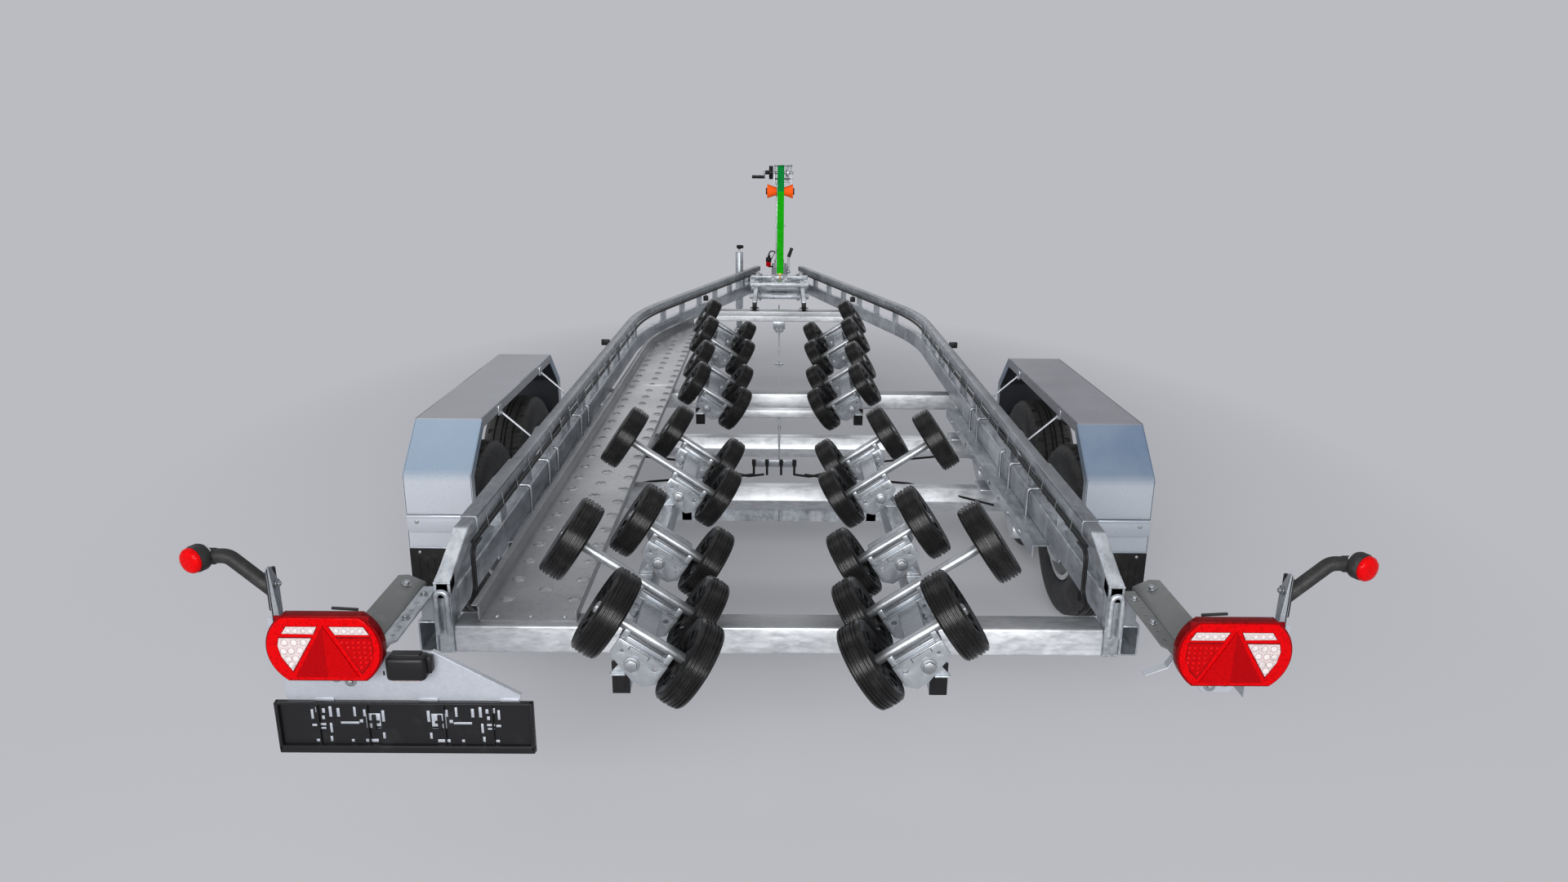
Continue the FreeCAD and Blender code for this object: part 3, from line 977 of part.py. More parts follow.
markerPlate = box("markerPlate", (S.markerRoot - S.armSheet, lampFace, S.markerRootZ - S.markerPlateDrop),
                  (S.armSheet, S.markerPlate, S.markerPlateTall))
markerLens = rod("markerLens", (S.markerX, lampFace - S.markerBack, S.markerZ), "y", S.markerRadius,
                 S.markerLong)
lampsRight = fuse("lampsRight", [lampBody, markerArm, markerPlate, markerLens])
subpart("lamps", group("lamps", [lampsRight, mirrored("lampsLeft", lampsRight)]))
holder = box("plateHolder", (sheetLeft, lampFace - S.plateDeep, S.plateZ - S.plateTall / 2),
             (S.plateWide, S.plateDeep, S.plateTall))
subpart("plate_holder", holder)

# Wiring looms along the upper chords and the brake rod on the centre line

loomInset = S.chordWide + S.sleeveSheet + S.loomRadius + S.hubGap
loomX = S.railOuter - loomInset
loomZ = S.upperTop - S.upperTall / 2
cornerY = S.bendStart + S.bendRadius * tanOf(S.bendAngle / 2)
loomFrontX = loomX - (plateRear - cornerY) * tanOf(S.bendAngle)
loom = bentTube("loomRight", [(loomX, rearTop, loomZ), (loomX, cornerY, loomZ), (loomFrontX, plateRear, loomZ)],
                S.loomRadius, S.bendRadius - loomInset)
rodRear = axleYs[1] + S.axleFlats
brakeRod = rod("brakeRod", (0, rodRear, S.rodZ), "y", S.rodRadius, plateRear - rodRear)
subpart("cables", group("cables", [loom, mirrored("loomLeft", loom), brakeRod]))

caps = []
caps.append(box("rearCap", (carrierLeft, S.carrierRear - S.capDepth, S.beamTop),
                (S.carrierWide, S.capDepth, S.carrierTall)))
caps.append(inArmFrame("armCap", box("armCapPlate", (
    carrierLeft, -S.armRearEnd - S.capDepth, -(S.pivotRise + S.carrierTall / 2)),
    (S.carrierWide, S.capDepth, S.carrierTall))))
caps.append(box("bearerCap", (bearerLeft, S.frontRear - S.capDepth, S.frontTop),
                (S.bearerWide, S.capDepth, S.bearerTall)))
capsRight = group("capsRight", caps)
subpart("end_caps", group("endCaps", [capsRight, mirrored("capsLeft", capsRight)]))

doc.recompute()

broken = [item.Name for item in doc.Objects if "Invalid" in item.State or "Error" in item.State]
for node, item in subparts:
    if item.Shape.isNull() or not item.Shape.isValid():
        broken.append(node)
if broken:
    raise RuntimeError("not built: " + ", ".join(broken))

os.makedirs("parts", exist_ok=True)
for node, item in subparts:
    item.Shape.exportStep(f"parts/{node}.step")
print(len(subparts), "sub-parts")
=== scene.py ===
import math

import bpy
from mathutils import Matrix, Vector


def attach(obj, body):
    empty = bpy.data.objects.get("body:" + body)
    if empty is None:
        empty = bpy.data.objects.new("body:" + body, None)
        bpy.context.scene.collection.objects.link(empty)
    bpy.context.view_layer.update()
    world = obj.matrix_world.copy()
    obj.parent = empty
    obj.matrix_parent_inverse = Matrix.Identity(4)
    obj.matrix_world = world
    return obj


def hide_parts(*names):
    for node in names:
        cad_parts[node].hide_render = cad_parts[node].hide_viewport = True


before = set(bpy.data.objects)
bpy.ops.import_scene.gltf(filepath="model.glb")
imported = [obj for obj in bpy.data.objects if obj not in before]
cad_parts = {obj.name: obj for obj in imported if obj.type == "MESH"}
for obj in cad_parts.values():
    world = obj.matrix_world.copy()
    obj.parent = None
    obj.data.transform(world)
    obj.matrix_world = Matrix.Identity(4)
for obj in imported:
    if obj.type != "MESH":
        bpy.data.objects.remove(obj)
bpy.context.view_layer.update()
mm = 0.001
up, across, along = Vector((0, 0, 1)), Vector((1, 0, 0)), Vector((0, 1, 0))
mirrorX = Matrix.Diagonal((-1, 1, 1, 1))

# Camera and light

camera = {"place": (-0.012, -5.48, 1.73), "lens": 23.44, "pitch": 16.4, "yaw": 0.44, "roll": 0.573}
studio = {"backdrop": (0.497, 0.503, 0.533), "floor": (0.48, 0.485, 0.515), "floorSize": 60, "fadeStart": 1.4,
          "fadeEnd": 3.5, "fadeLeast": 0.2}


def setCamera():
    bpy.ops.object.camera_add(location=camera["place"])
    eye = bpy.context.object
    eye.data.lens = camera["lens"]
    eye.data.sensor_width = 36
    eye.data.clip_end = 200
    pitch, yaw, roll = (math.radians(camera[word]) for word in ("pitch", "yaw", "roll"))
    forward = Vector((math.sin(yaw) * math.cos(pitch), math.cos(yaw) * math.cos(pitch), -math.sin(pitch)))
    right = Vector((math.cos(yaw), -math.sin(yaw), 0))
    down = forward.cross(right)
    turnedRight = right * math.cos(roll) - down * math.sin(roll)
    turnedDown = right * math.sin(roll) + down * math.cos(roll)
    eye.matrix_world = Matrix((turnedRight, -turnedDown, -forward)).transposed().to_4x4()
    eye.location = camera["place"]
    bpy.context.scene.camera = eye


def softLight(name, place, target, size, power):
    bpy.ops.object.light_add(type="AREA", location=place)
    light = bpy.context.object
    light.name = name
    light.data.shape = "RECTANGLE"
    light.data.size, light.data.size_y = size
    light.data.energy = power
    light.rotation_euler = (Vector(target) - Vector(place)).to_track_quat("-Z", "Y").to_euler()


# Shader maths

# One output socket that takes part in Python expressions
class Value:
    def __init__(self, maker, socket):
        self.maker = maker
        self.socket = socket

    def maths(self, operation, *others):
        return self.maker.add("ShaderNodeMath", {"operation": operation}, dict(enumerate((self,) + others)))

    def __add__(self, other):
        return self.maths("ADD", other)

    def __sub__(self, other):
        return self.maths("SUBTRACT", other)

    def __mul__(self, other):
        return self.maths("MULTIPLY", other)

    def __truediv__(self, other):
        return self.maths("DIVIDE", other)

    def __pow__(self, other):
        return self.maths("POWER", other)

    def __rsub__(self, other):
        return self.maker.add("ShaderNodeMath", {"operation": "SUBTRACT"}, {0: other, 1: self})

    __radd__ = __add__
    __rmul__ = __mul__


# A material with its principled shader and the nodes that feed it
class Finish:
    def __init__(self, name):
        self.material = bpy.data.materials.new(name)
        self.material.use_nodes = True
        self.tree = self.material.node_tree
        self.shader = next(n for n in self.tree.nodes if n.type == "BSDF_PRINCIPLED")
        self.place = self.add("ShaderNodeTexCoord", {}, {}, "Object")

    def add(self, kind, settings, values, out=0):
        node = self.tree.nodes.new(kind)
        for word, setting in settings.items():
            setattr(node, word, setting)
        for word, value in values.items():
            self.feed(node.inputs[word], value)
        return Value(self, node.outputs[out])

    def feed(self, socket, value):
        if isinstance(value, Value):
            self.tree.links.new(value.socket, socket)
        else:
            socket.default_value = value

    def set(self, **values):
        for word, value in values.items():
            self.feed(self.shader.inputs[word.replace("_", " ")], value)
        return self

    def scaled(self, scale, turn=(0, 0, 0), at=(0, 0, 0)):
        return self.add("ShaderNodeMapping", {}, {"Vector": self.place, "Scale": scale, "Rotation": turn,
                                                  "Location": at})

    def noise(self, scale, detail=3, rough=0.5, where=None):
        return self.add("ShaderNodeTexNoise", {}, {"Vector": where or self.place, "Scale": scale,
                                                   "Detail": detail, "Roughness": rough})

    def cells(self, scale, where=None, feature="F1", out="Distance"):
        return self.add("ShaderNodeTexVoronoi", {"feature": feature}, {"Vector": where or self.place,
                                                                       "Scale": scale}, out)

    def ranged(self, value, low, high, start=0, end=1):
        return self.add("ShaderNodeMapRange", {}, {0: value, 1: low, 2: high, 3: start, 4: end})

    def mixed(self, share, one, other):
        node = self.tree.nodes.new("ShaderNodeMix")
        node.data_type = "RGBA"
        for index, value in ((0, share), (6, one), (7, other)):
            if index and not isinstance(value, Value) and len(value) == 3:
                value = tuple(value) + (1,)
            self.feed(node.inputs[index], value)
        return Value(self, node.outputs[2])

    def bumped(self, height, strength, distance):
        self.feed(self.shader.inputs["Normal"], self.add("ShaderNodeBump", {}, {
            "Height": height, "Strength": strength, "Distance": distance}))
        return self

    def axes(self):
        node = self.tree.nodes.new("ShaderNodeSeparateXYZ")
        self.feed(node.inputs[0], self.place)
        return [Value(self, socket) for socket in node.outputs]


zinc = {"dark": (0.15, 0.168, 0.19), "light": (0.50, 0.535, 0.575), "blotch": 9, "fine": 70, "grain": 420}


def galvanised(name, dark=zinc["dark"], light=zinc["light"], stretch=(1, 0.35, 1), rough=(0.3, 0.52), top=None):
    finish = Finish(name)
    where = finish.scaled(stretch)
    blotch = finish.noise(zinc["blotch"], 6, 0.62, where)
    fine = finish.noise(zinc["fine"], 4, 0.6, where)
    spangle = finish.ranged(finish.cells(130, where), 0, 0.6, 0.2, 0.75)
    share = finish.ranged(blotch * 0.62 + fine * 0.38, 0.36, 0.64)
    colour = finish.mixed(share, dark, light)
    colour = finish.mixed(0.10, colour, spangle)
    streak = finish.ranged(finish.noise(14, 3, 0.5, finish.scaled((1, 1, 0.12))), 0.56, 0.74, 0, 0.35)
    colour = finish.mixed(streak, colour, (0.80, 0.815, 0.82))
    if top:  # Faces that look up are painted darker than the upright ones: painted shade
        height = finish.axes()[2]
        colour = finish.mixed(finish.ranged(height, top - 0.004, top - 0.001, 0, 0.62), colour, (0.03, 0.034, 0.04))
    finish.set(Base_Color=colour, Metallic=0.72, Roughness=finish.ranged(fine, 0.3, 0.7, *rough))
    return finish.bumped(finish.noise(zinc["grain"], 2, 0.5) * 0.35 + blotch, 0.16, 0.002).material


def sheetZinc(name, low, high, rough, marks=0.07):
    finish = Finish(name)
    cloud = finish.noise(3.2, 5, 0.55)
    fine = finish.noise(160, 3, 0.6)
    spots = finish.ranged(finish.cells(46), 0, 0.6, 0.3, 0.8)
    colour = finish.mixed(finish.ranged(cloud, 0.34, 0.66), low, high)
    colour = finish.mixed(marks, colour, spots)
    finish.set(Base_Color=colour, Metallic=0.62, Roughness=finish.ranged(fine, 0.3, 0.7, rough, rough + 0.14))
    return finish.bumped(fine * 0.4 + finish.noise(18, 2, 0.5), marks, 0.002).material


# Hood sheet with painted light: neutral on top, a bluish painted reflection on the sloping faces, pale painted light on
# the upright ones, each lighter on the left guard than on the right
def hoodPaintedLight():
    finish = Finish("hoodSheetPaintedLight")
    x, y, z = finish.axes()
    cloud = finish.ranged(finish.noise(3.2, 5, 0.55), 0.34, 0.66)
    fine = finish.noise(160, 3, 0.6)
    away = finish.add("ShaderNodeMath", {"operation": "ABSOLUTE"}, {0: y - guardMiddle})
    # Face tones below are painted light and shade: slopes, upright faces and tops, the left side lighter than the right
    slope = finish.mixed(finish.ranged(x, -1.1, 1.1), (0.26, 0.34, 0.44), (0.14, 0.20, 0.29))
    upright = finish.mixed(finish.ranged(x, -1.1, 1.1), (0.47, 0.50, 0.545), (0.38, 0.42, 0.47))
    colour = finish.mixed(finish.ranged(x, -1.1, 1.1), (0.34, 0.35, 0.375), (0.22, 0.225, 0.25))
    colour = finish.mixed(finish.ranged(away, 0.552, 0.556), colour, slope)
    colour = finish.mixed(finish.ranged(z, 0.664, 0.625), colour, upright)
    colour = finish.mixed(cloud * 0.2, colour, (0.5, 0.52, 0.55))
    finish.set(Base_Color=colour, Metallic=0.55, Roughness=finish.ranged(fine, 0.3, 0.7, 0.27, 0.37))
    return finish.bumped(fine * 0.4 + finish.noise(18, 2, 0.5), 0.03, 0.002).material


def brightSteel(name, tint=(0.33, 0.345, 0.36), rough=0.32):
    finish = Finish(name)
    fine = finish.noise(240, 3, 0.6)
    colour = finish.mixed(finish.ranged(finish.noise(30, 4, 0.6), 0.4, 0.7), tint, [c * 0.7 for c in tint])
    finish.set(Base_Color=colour, Metallic=0.9, Roughness=finish.ranged(fine, 0.3, 0.7, rough, rough + 0.18))
    return finish.bumped(fine, 0.05, 0.001).material


def blackRubber(name, shade=0.012, rough=0.48, grain=260, depth=0.18):
    finish = Finish(name)
    dust = finish.ranged(finish.noise(24, 5, 0.65), 0.5, 0.75)
    fine = finish.noise(grain, 3, 0.6)
    colour = finish.mixed(dust, (shade, shade, shade * 1.04), (shade * 2.6, shade * 2.6, shade * 2.6))
    finish.set(Base_Color=colour, Roughness=finish.ranged(fine, 0.3, 0.7, rough - 0.08, rough + 0.12),
               Specular_IOR_Level=0.13)
    return finish.bumped(fine, depth, 0.0008).material


# Rubber with sipes across the tread, around the wheel's own middle
def tyreRubber(name, middle):
    finish = Finish(name)
    x, y, z = finish.axes()
    y, z = y - middle[1], z - middle[2]
    angle = finish.add("ShaderNodeMath", {"operation": "ARCTAN2"}, {0: z, 1: y})
    radius = (y * y + z * z) ** 0.5
    x = x - middle[0]
    wave = finish.add("ShaderNodeMath", {"operation": "SINE"}, {0: angle * 78 + x * 60})
    fineWave = finish.add("ShaderNodeMath", {"operation": "SINE"}, {0: angle * 234 - x * 90})
    sipe = finish.ranged(wave, 0.72, 0.9) + finish.ranged(fineWave, 0.75, 0.95) * 0.4
    tread = finish.ranged(radius, 0.306, 0.312)
    rings = finish.add("ShaderNodeMath", {"operation": "SINE"}, {0: radius * 900})
    side = (1 - tread) * finish.ranged(rings, 0.2, 0.9) * finish.ranged(radius, 0.24, 0.25)
    dust = finish.ranged(finish.noise(30, 4, 0.6), 0.45, 0.75)
    colour = finish.mixed(dust, (0.012, 0.012, 0.0125), (0.032, 0.031, 0.03))
    # Sipes on the tread are painted near-black: painted shade in the grooves
    colour = finish.mixed(sipe * tread, colour, (0.004, 0.004, 0.004))
    finish.set(Base_Color=colour, Roughness=finish.ranged(finish.noise(180), 0.3, 0.7, 0.5, 0.68))
    return finish.bumped(1 - sipe * tread + side * 0.3 + finish.noise(300) * 0.1, 0.55, 0.004).material


def lens(name, colour, rough=0.1, cell=150, depth=0.4):
    finish = Finish(name)
    cells = finish.cells(cell)
    deep = [c * 0.55 for c in colour]
    finish.set(Base_Color=finish.mixed(finish.ranged(cells, 0.0, 0.5), deep, colour), Coat_Weight=0.05,
               Coat_Roughness=0.03, Specular_IOR_Level=0.02, Roughness=rough)
    return finish.bumped(cells, depth, 0.001).material


def plastic(name, colour, rough=0.4, grain=500):
    finish = Finish(name)
    fine = finish.noise(grain, 2, 0.5)
    wear = finish.ranged(finish.noise(22, 4, 0.6), 0.55, 0.8, 0, 0.5)
    colour = finish.mixed(wear, colour, [min(1, c * 1.6 + 0.01) for c in colour])
    finish.set(Base_Color=colour, Roughness=finish.ranged(fine, 0.3, 0.7, rough - 0.07, rough + 0.08),
               Specular_IOR_Level=0.16)
    return finish.bumped(fine, 0.08, 0.0005).material


def webbing(name, colour):
    finish = Finish(name)
    x, y, z = finish.axes()
    warp = finish.add("ShaderNodeMath", {"operation": "SINE"}, {0: x * 2600})
    weft = finish.add("ShaderNodeMath", {"operation": "SINE"}, {0: z * 1900 + y * 1900})
    weave = finish.ranged(warp * weft, -1, 1)
    shade = finish.ranged(finish.noise(35, 4, 0.6), 0.35, 0.7)
    dark = [c * 0.6 for c in colour]
    finish.set(Base_Color=finish.mixed(weave * 0.5 + shade * 0.5, dark, colour), Roughness=0.75, Specular_IOR_Level=0.04)
    return finish.bumped(weave, 0.5, 0.0006).material


# Pale floor that fades into the same plain tone far away
def floorFinish():
    finish = Finish("studioFloor")
    x, y, z = finish.axes()
    reach = (x * x + y * y * 0.45) ** 0.5
    finish.set(Base_Color=studio["floor"] + (1,), Roughness=0.9, Specular_IOR_Level=0.1)
    flat = finish.add("ShaderNodeEmission", {}, {"Color": studio["backdrop"] + (1,), "Strength": 1.0})
    share = finish.ranged(reach, studio["fadeStart"], studio["fadeEnd"], studio["fadeLeast"])
    both = finish.add("ShaderNodeMixShader", {}, {0: share, 1: Value(finish, finish.shader.outputs[0]), 2: flat})
    output = next(n for n in finish.tree.nodes if n.type == "OUTPUT_MATERIAL")
    finish.feed(output.inputs["Surface"], both)
    return finish.material


def setStudio():
    bpy.ops.mesh.primitive_plane_add(size=studio["floorSize"], location=(0, 0, 0))
    floor = bpy.context.object
    floor.name = "studio_floor"
    floor.data.materials.append(floorFinish())
    world = bpy.data.worlds.new("studio")
    bpy.context.scene.world = world
    bpy.context.scene.view_settings.view_transform = "Standard"
    world.use_nodes = True
    tree = world.node_tree
    background = next(n for n in tree.nodes if n.type == "BACKGROUND")
    background.inputs["Color"].default_value = (0.80, 0.82, 0.86, 1)
    background.inputs["Strength"].default_value = 0.27
    plain = tree.nodes.new("ShaderNodeBackground")
    plain.inputs["Color"].default_value = studio["backdrop"] + (1,)
    path = tree.nodes.new("ShaderNodeLightPath")
    either = tree.nodes.new("ShaderNodeMixShader")
    seen = path.outputs["Is Camera Ray"]
    for word in ("Is Glossy Ray", "Is Transmission Ray"):
        more = tree.nodes.new("ShaderNodeMath")
        more.use_clamp = True
        tree.links.new(seen, more.inputs[0])
        tree.links.new(path.outputs[word], more.inputs[1])
        seen = more.outputs[0]
    tree.links.new(seen, either.inputs[0])
    tree.links.new(background.outputs[0], either.inputs[1])
    tree.links.new(plain.outputs[0], either.inputs[2])
    output = next(n for n in tree.nodes if n.type == "OUTPUT_WORLD")
    tree.links.new(either.outputs[0], output.inputs["Surface"])
    softLight("overheadLight", (-0.4, -0.6, 5.4), (0, -0.6, 0), (3.6, 7.5), 78)
    softLight("rearLight", (-0.6, -9.6, 3.1), (0, -1.0, 0.6), (7.0, 3.0), 980)
    softLight("rightLight", (5.6, -1.5, 2.6), (0, -1.2, 0.5), (2.0, 7.0), 40)
    softLight("leftLight", (-5.6, -0.5, 2.6), (0, -0.8, 0.5), (2.0, 7.0), 70)
    softLight("frontLight", (0, 8.0, 3.6), (0, 1.5, 0.6), (5, 2), 50)


# Modelling helpers; sizes come in millimetres

def only(*objects):
    bpy.ops.object.select_all(action="DESELECT")
    for item in objects:
        item.select_set(True)
    bpy.context.view_layer.objects.active = objects[0]
    return objects[0]


def settled(item):
    only(item)
    bpy.ops.object.transform_apply(location=True, rotation=True, scale=True)
    return item


def modified(item, kind, **settings):
    only(item)
    step = item.modifiers.new(kind.title(), kind)
    for word, setting in settings.items():
        setattr(step, word, setting)
    bpy.ops.object.modifier_apply(modifier=step.name)
    return item


def rounded(item, radius, steps=2, angle=35):
    return modified(item, "BEVEL", width=radius * mm, segments=steps, limit_method="ANGLE",
                    angle_limit=math.radians(angle))


# Takes away what lies past each plane, given as a point and a normal
def sliced(item, *cuts):
    only(item)
    bpy.ops.object.mode_set(mode="EDIT")
    for point, normal in cuts:
        bpy.ops.mesh.select_all(action="SELECT")
        bpy.ops.mesh.bisect(plane_co=Vector(point) * mm, plane_no=Vector(normal).normalized(), use_fill=True,
                            clear_outer=True)
    bpy.ops.object.mode_set(mode="OBJECT")
    return item


def block(low, high, edge=0, steps=2, cuts=()):
    low, high = Vector(low) * mm, Vector(high) * mm
    bpy.ops.object.select_all(action="DESELECT")
    bpy.ops.mesh.primitive_cube_add(size=1, location=(low + high) / 2)
    item = bpy.context.object
    item.scale = high - low
    settled(item)
    if cuts:
        sliced(item, *cuts)
    return rounded(item, edge, steps) if edge else item


def bar(start, end, radius, sides=20, edge=0):
    start, end = Vector(start) * mm, Vector(end) * mm
    bpy.ops.object.select_all(action="DESELECT")
    bpy.ops.mesh.primitive_cylinder_add(vertices=sides, radius=radius * mm, depth=(end - start).length,
                                        location=(start + end) / 2)
    item = bpy.context.object
    item.rotation_euler = (end - start).to_track_quat("Z", "Y").to_euler()
    settled(item)
    return rounded(item, edge, 2, 50) if edge else item


def placed(item, matrix):
    item.matrix_world = matrix @ item.matrix_world
    settled(item)
    if matrix.determinant() < 0:
        bpy.ops.object.mode_set(mode="EDIT")
        bpy.ops.mesh.select_all(action="SELECT")
        bpy.ops.mesh.flip_normals()
        bpy.ops.object.mode_set(mode="OBJECT")
    return item


def copied(item, matrix=None):
    twin = item.copy()
    twin.data = item.data.copy()
    bpy.context.collection.objects.link(twin)
    return placed(twin, matrix) if matrix else twin


def shifted(x, y, z):
    return Matrix.Translation(Vector((x, y, z)) * mm)


# Takes the local Z axis to the direction and the origin to the place
def aimed(direction, at=(0, 0, 0)):
    return Matrix.Translation(Vector(at) * mm) @ Vector(direction).to_track_quat("Z", "Y").to_matrix().to_4x4()


def joined(parts):
    only(*parts)
    if len(parts) > 1:
        bpy.ops.object.join()
    return bpy.context.object


# The parts and their mirror images
def both(parts):
    return list(parts) + [copied(part, mirrorX) for part in parts]


# Outline of (height, radius) about the Z axis; a ring's outline closes on itself
def lathed(profile, sides=48, ring=False):
    height, radius = profile[0]
    bpy.ops.object.select_all(action="DESELECT")
    bpy.ops.mesh.primitive_circle_add(vertices=sides, radius=radius * mm, fill_type="NOTHING" if ring else "NGON",
                                      location=(0, 0, height * mm))
    item = settled(bpy.context.object)
    bpy.ops.object.mode_set(mode="EDIT")
    bpy.ops.mesh.select_all(action="SELECT")
    for (z0, r0), (z1, r1) in zip(profile, profile[1:] + (profile[:1] if ring else [])):
        bpy.ops.mesh.extrude_region_move(TRANSFORM_OT_translate={"value": (0, 0, (z1 - z0) * mm)})
        bpy.ops.transform.resize(value=(r1 / r0, r1 / r0, 1), center_override=(0, 0, z1 * mm))
    bpy.ops.mesh.select_all(action="SELECT")
    bpy.ops.mesh.remove_doubles(threshold=0.00001)
    bpy.ops.mesh.normals_make_consistent(inside=False)
    bpy.ops.object.mode_set(mode="OBJECT")
    return item


# Tube or rectangular section drawn along straight runs and turns (centre, axis, degrees, steps)
def swept(start, steps, radius=0, section=None, sides=12):
    heading = Vector(next(step for step in steps if len(step) == 3)).normalized()
    bpy.ops.object.select_all(action="DESELECT")
    if section:
        wide, tall, corner = section
        bpy.ops.mesh.primitive_plane_add(size=1)
        item = bpy.context.object
        item.scale = (wide * mm, tall * mm, 1)
        settled(item)
        bpy.ops.object.mode_set(mode="EDIT")
        bpy.ops.mesh.select_all(action="SELECT")
        bpy.ops.mesh.bevel(offset=corner * mm, segments=3, affect="VERTICES")
        bpy.ops.object.mode_set(mode="OBJECT")
        placed(item, Matrix.Translation(Vector(start) * mm) @ Matrix.Rotation(math.radians(90), 4, "X"))
    else:
        bpy.ops.mesh.primitive_circle_add(vertices=sides, radius=radius * mm, fill_type="NGON")
        item = placed(bpy.context.object, aimed(heading, start))
    bpy.ops.object.mode_set(mode="EDIT")
    bpy.ops.mesh.select_all(action="SELECT")
    for step in steps:
        if len(step) == 3:
            bpy.ops.mesh.extrude_region_move(TRANSFORM_OT_translate={"value": Vector(step) * mm})
        else:
            centre, axis, degrees, count = step
            bpy.ops.mesh.spin(steps=count, angle=-math.radians(degrees), center=Vector(centre) * mm, axis=axis)
    bpy.ops.mesh.select_all(action="SELECT")
    bpy.ops.mesh.remove_doubles(threshold=0.00001)
    bpy.ops.mesh.normals_make_consistent(inside=False)
    bpy.ops.object.mode_set(mode="OBJECT")
    return item


def hulled(parts):
    item = joined(parts)
    bpy.ops.object.mode_set(mode="EDIT")
    bpy.ops.mesh.select_all(action="SELECT")
    bpy.ops.mesh.convex_hull()
    bpy.ops.object.mode_set(mode="OBJECT")
    return item


def painted(material, *parts):
    for part in parts:
        part.data.materials.clear()
        part.data.materials.append(material)
    return list(parts)


# Hexagon bolt with its washer; direction points out of the head
def bolt(at, direction, size=9, head=7, washer=12):
    parts = [bar((0, 0, 0), (0, 0, 2.2), washer, 24, 0.5), bar((0, 0, 2.2), (0, 0, 2.2 + head), size, 6, 0.8),
             bar((0, 0, 2.2 + head), (0, 0, 3.4 + head), size * 0.55, 16, 0.4)]
    return placed(joined(parts), aimed(direction, at))


# Sheet drawn by extruding an edge from point to point, depth being the vector across it
def folded(points, depth, thick, offset=-1, edge=0):
    points, depth = [Vector(point) * mm for point in points], Vector(depth) * mm
    first = points[1] - points[0]
    bpy.ops.object.select_all(action="DESELECT")
    bpy.ops.mesh.primitive_plane_add(size=1)
    sheet = bpy.context.object
    middle = (points[0] + points[1] + depth) / 2
    turn = Matrix((first, depth, first.cross(depth).normalized())).transposed().to_4x4()
    placed(sheet, Matrix.Translation(middle) @ turn)
    end = (points[1], points[1] + depth)
    for vertex in sheet.data.vertices:
        vertex.select = min((vertex.co - spot).length for spot in end) < 0.00005
    for piece in list(sheet.data.edges) + list(sheet.data.polygons):
        piece.select = False
    bpy.context.tool_settings.mesh_select_mode = (True, False, False)
    bpy.ops.object.mode_set(mode="EDIT")
    for before, after in zip(points[1:], points[2:]):
        bpy.ops.mesh.extrude_region_move(TRANSFORM_OT_translate={"value": after - before})
    bpy.ops.object.mode_set(mode="OBJECT")
    modified(sheet, "SOLIDIFY", thickness=thick * mm, offset=offset, use_even_offset=True)
    return rounded(sheet, edge, 1, 50) if edge else sheet


# Band of a sheet edge along (y, z) points, mitred at the corners, from low to high across
def mitred(points, wide, low, high):
    spots = [Vector((0, y, z)) for y, z in points]
    ways = [(after - before).normalized() for before, after in zip(spots, spots[1:])]
    bands = []
    for index, (start, end, way) in enumerate(zip(spots, spots[1:], ways)):
        band = block((low, -wide, -wide), (high, (end - start).length + wide, 0))
        turn = Matrix((across, way, across.cross(way))).transposed().to_4x4()
        placed(band, Matrix.Translation(start * mm) @ turn)
        before = ways[index - 1] + way if index else way
        after = way + ways[index + 1] if index + 1 < len(ways) else way
        bands.append(sliced(band, (start, -before), (end, after)))
    return joined(bands)


# Cuts the tools, joined, out of the item
def carved(item, tools):
    tool = joined(tools)
    modified(item, "BOOLEAN", operation="DIFFERENCE", object=tool, solver="EXACT")
    bpy.data.objects.remove(tool, do_unlink=True)
    return item


def dressed(name, parts, body, slot, *nodes, angle=35):
    item = joined(parts)
    item.name = name
    item.data.name = name
    only(item)
    bpy.ops.object.shade_smooth_by_angle(angle=math.radians(angle))
    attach(item, body)
    if nodes:
        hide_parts(*nodes)
    return item


setCamera()
setStudio()
print("camera and studio ready")

zincTube = galvanised("galvanisedTube")
# Rails: the top faces get painted shade
railTube = galvanised("railTube", top=0.743)
# Beams and axles: a lighter copy of the galvanised finish as painted light, with painted shade on the top faces
zincBeam = galvanised("galvanisedBeam", (0.40, 0.42, 0.44), (0.80, 0.82, 0.84), (0.35, 1, 1), (0.36, 0.56), 0.547)
zincSheet = sheetZinc("galvanisedSheet", (0.19, 0.195, 0.207), (0.275, 0.282, 0.293), 0.27)
zincPlate = sheetZinc("brightPlate", (0.25, 0.27, 0.295), (0.36, 0.38, 0.405), 0.24, 0.03)
zincPale = sheetZinc("paleSheet", (0.36, 0.385, 0.43), (0.46, 0.485, 0.53), 0.3, 0.04)
guardMiddle = -1.518
# Hood sheet with painted light and shade that follow each face's slope and side
zincHoodPaintedLight = hoodPaintedLight()
zincBolt = brightSteel("zincBolt")
steelGrey = plastic("greySteel", (0.15, 0.155, 0.155), 0.42, 200)
rimSteel = sheetZinc("rimSteel", (0.50, 0.515, 0.525), (0.66, 0.675, 0.68), 0.36)
rubberRoller = blackRubber("rollerRubber", 0.007, 0.22, 200, 0.04)
rubberFlap = blackRubber("flapRubber", 0.007, 0.5)
rubberArm = blackRubber("armRubber", 0.016, 0.5, 180, 0.3)
blackCap = plastic("blackPlastic", (0.008, 0.008, 0.009), 0.38)
# Near-black sheet for the painted shade under the mudguard hoods
paintedShadeSheet = plastic("paintedShadeSheet", (0.022, 0.024, 0.028), 0.6)
blackLoom = plastic("loomCover", (0.011, 0.011, 0.012), 0.5, 700)
couplingGrey = plastic("couplingGrey", (0.20, 0.21, 0.22), 0.4, 260)
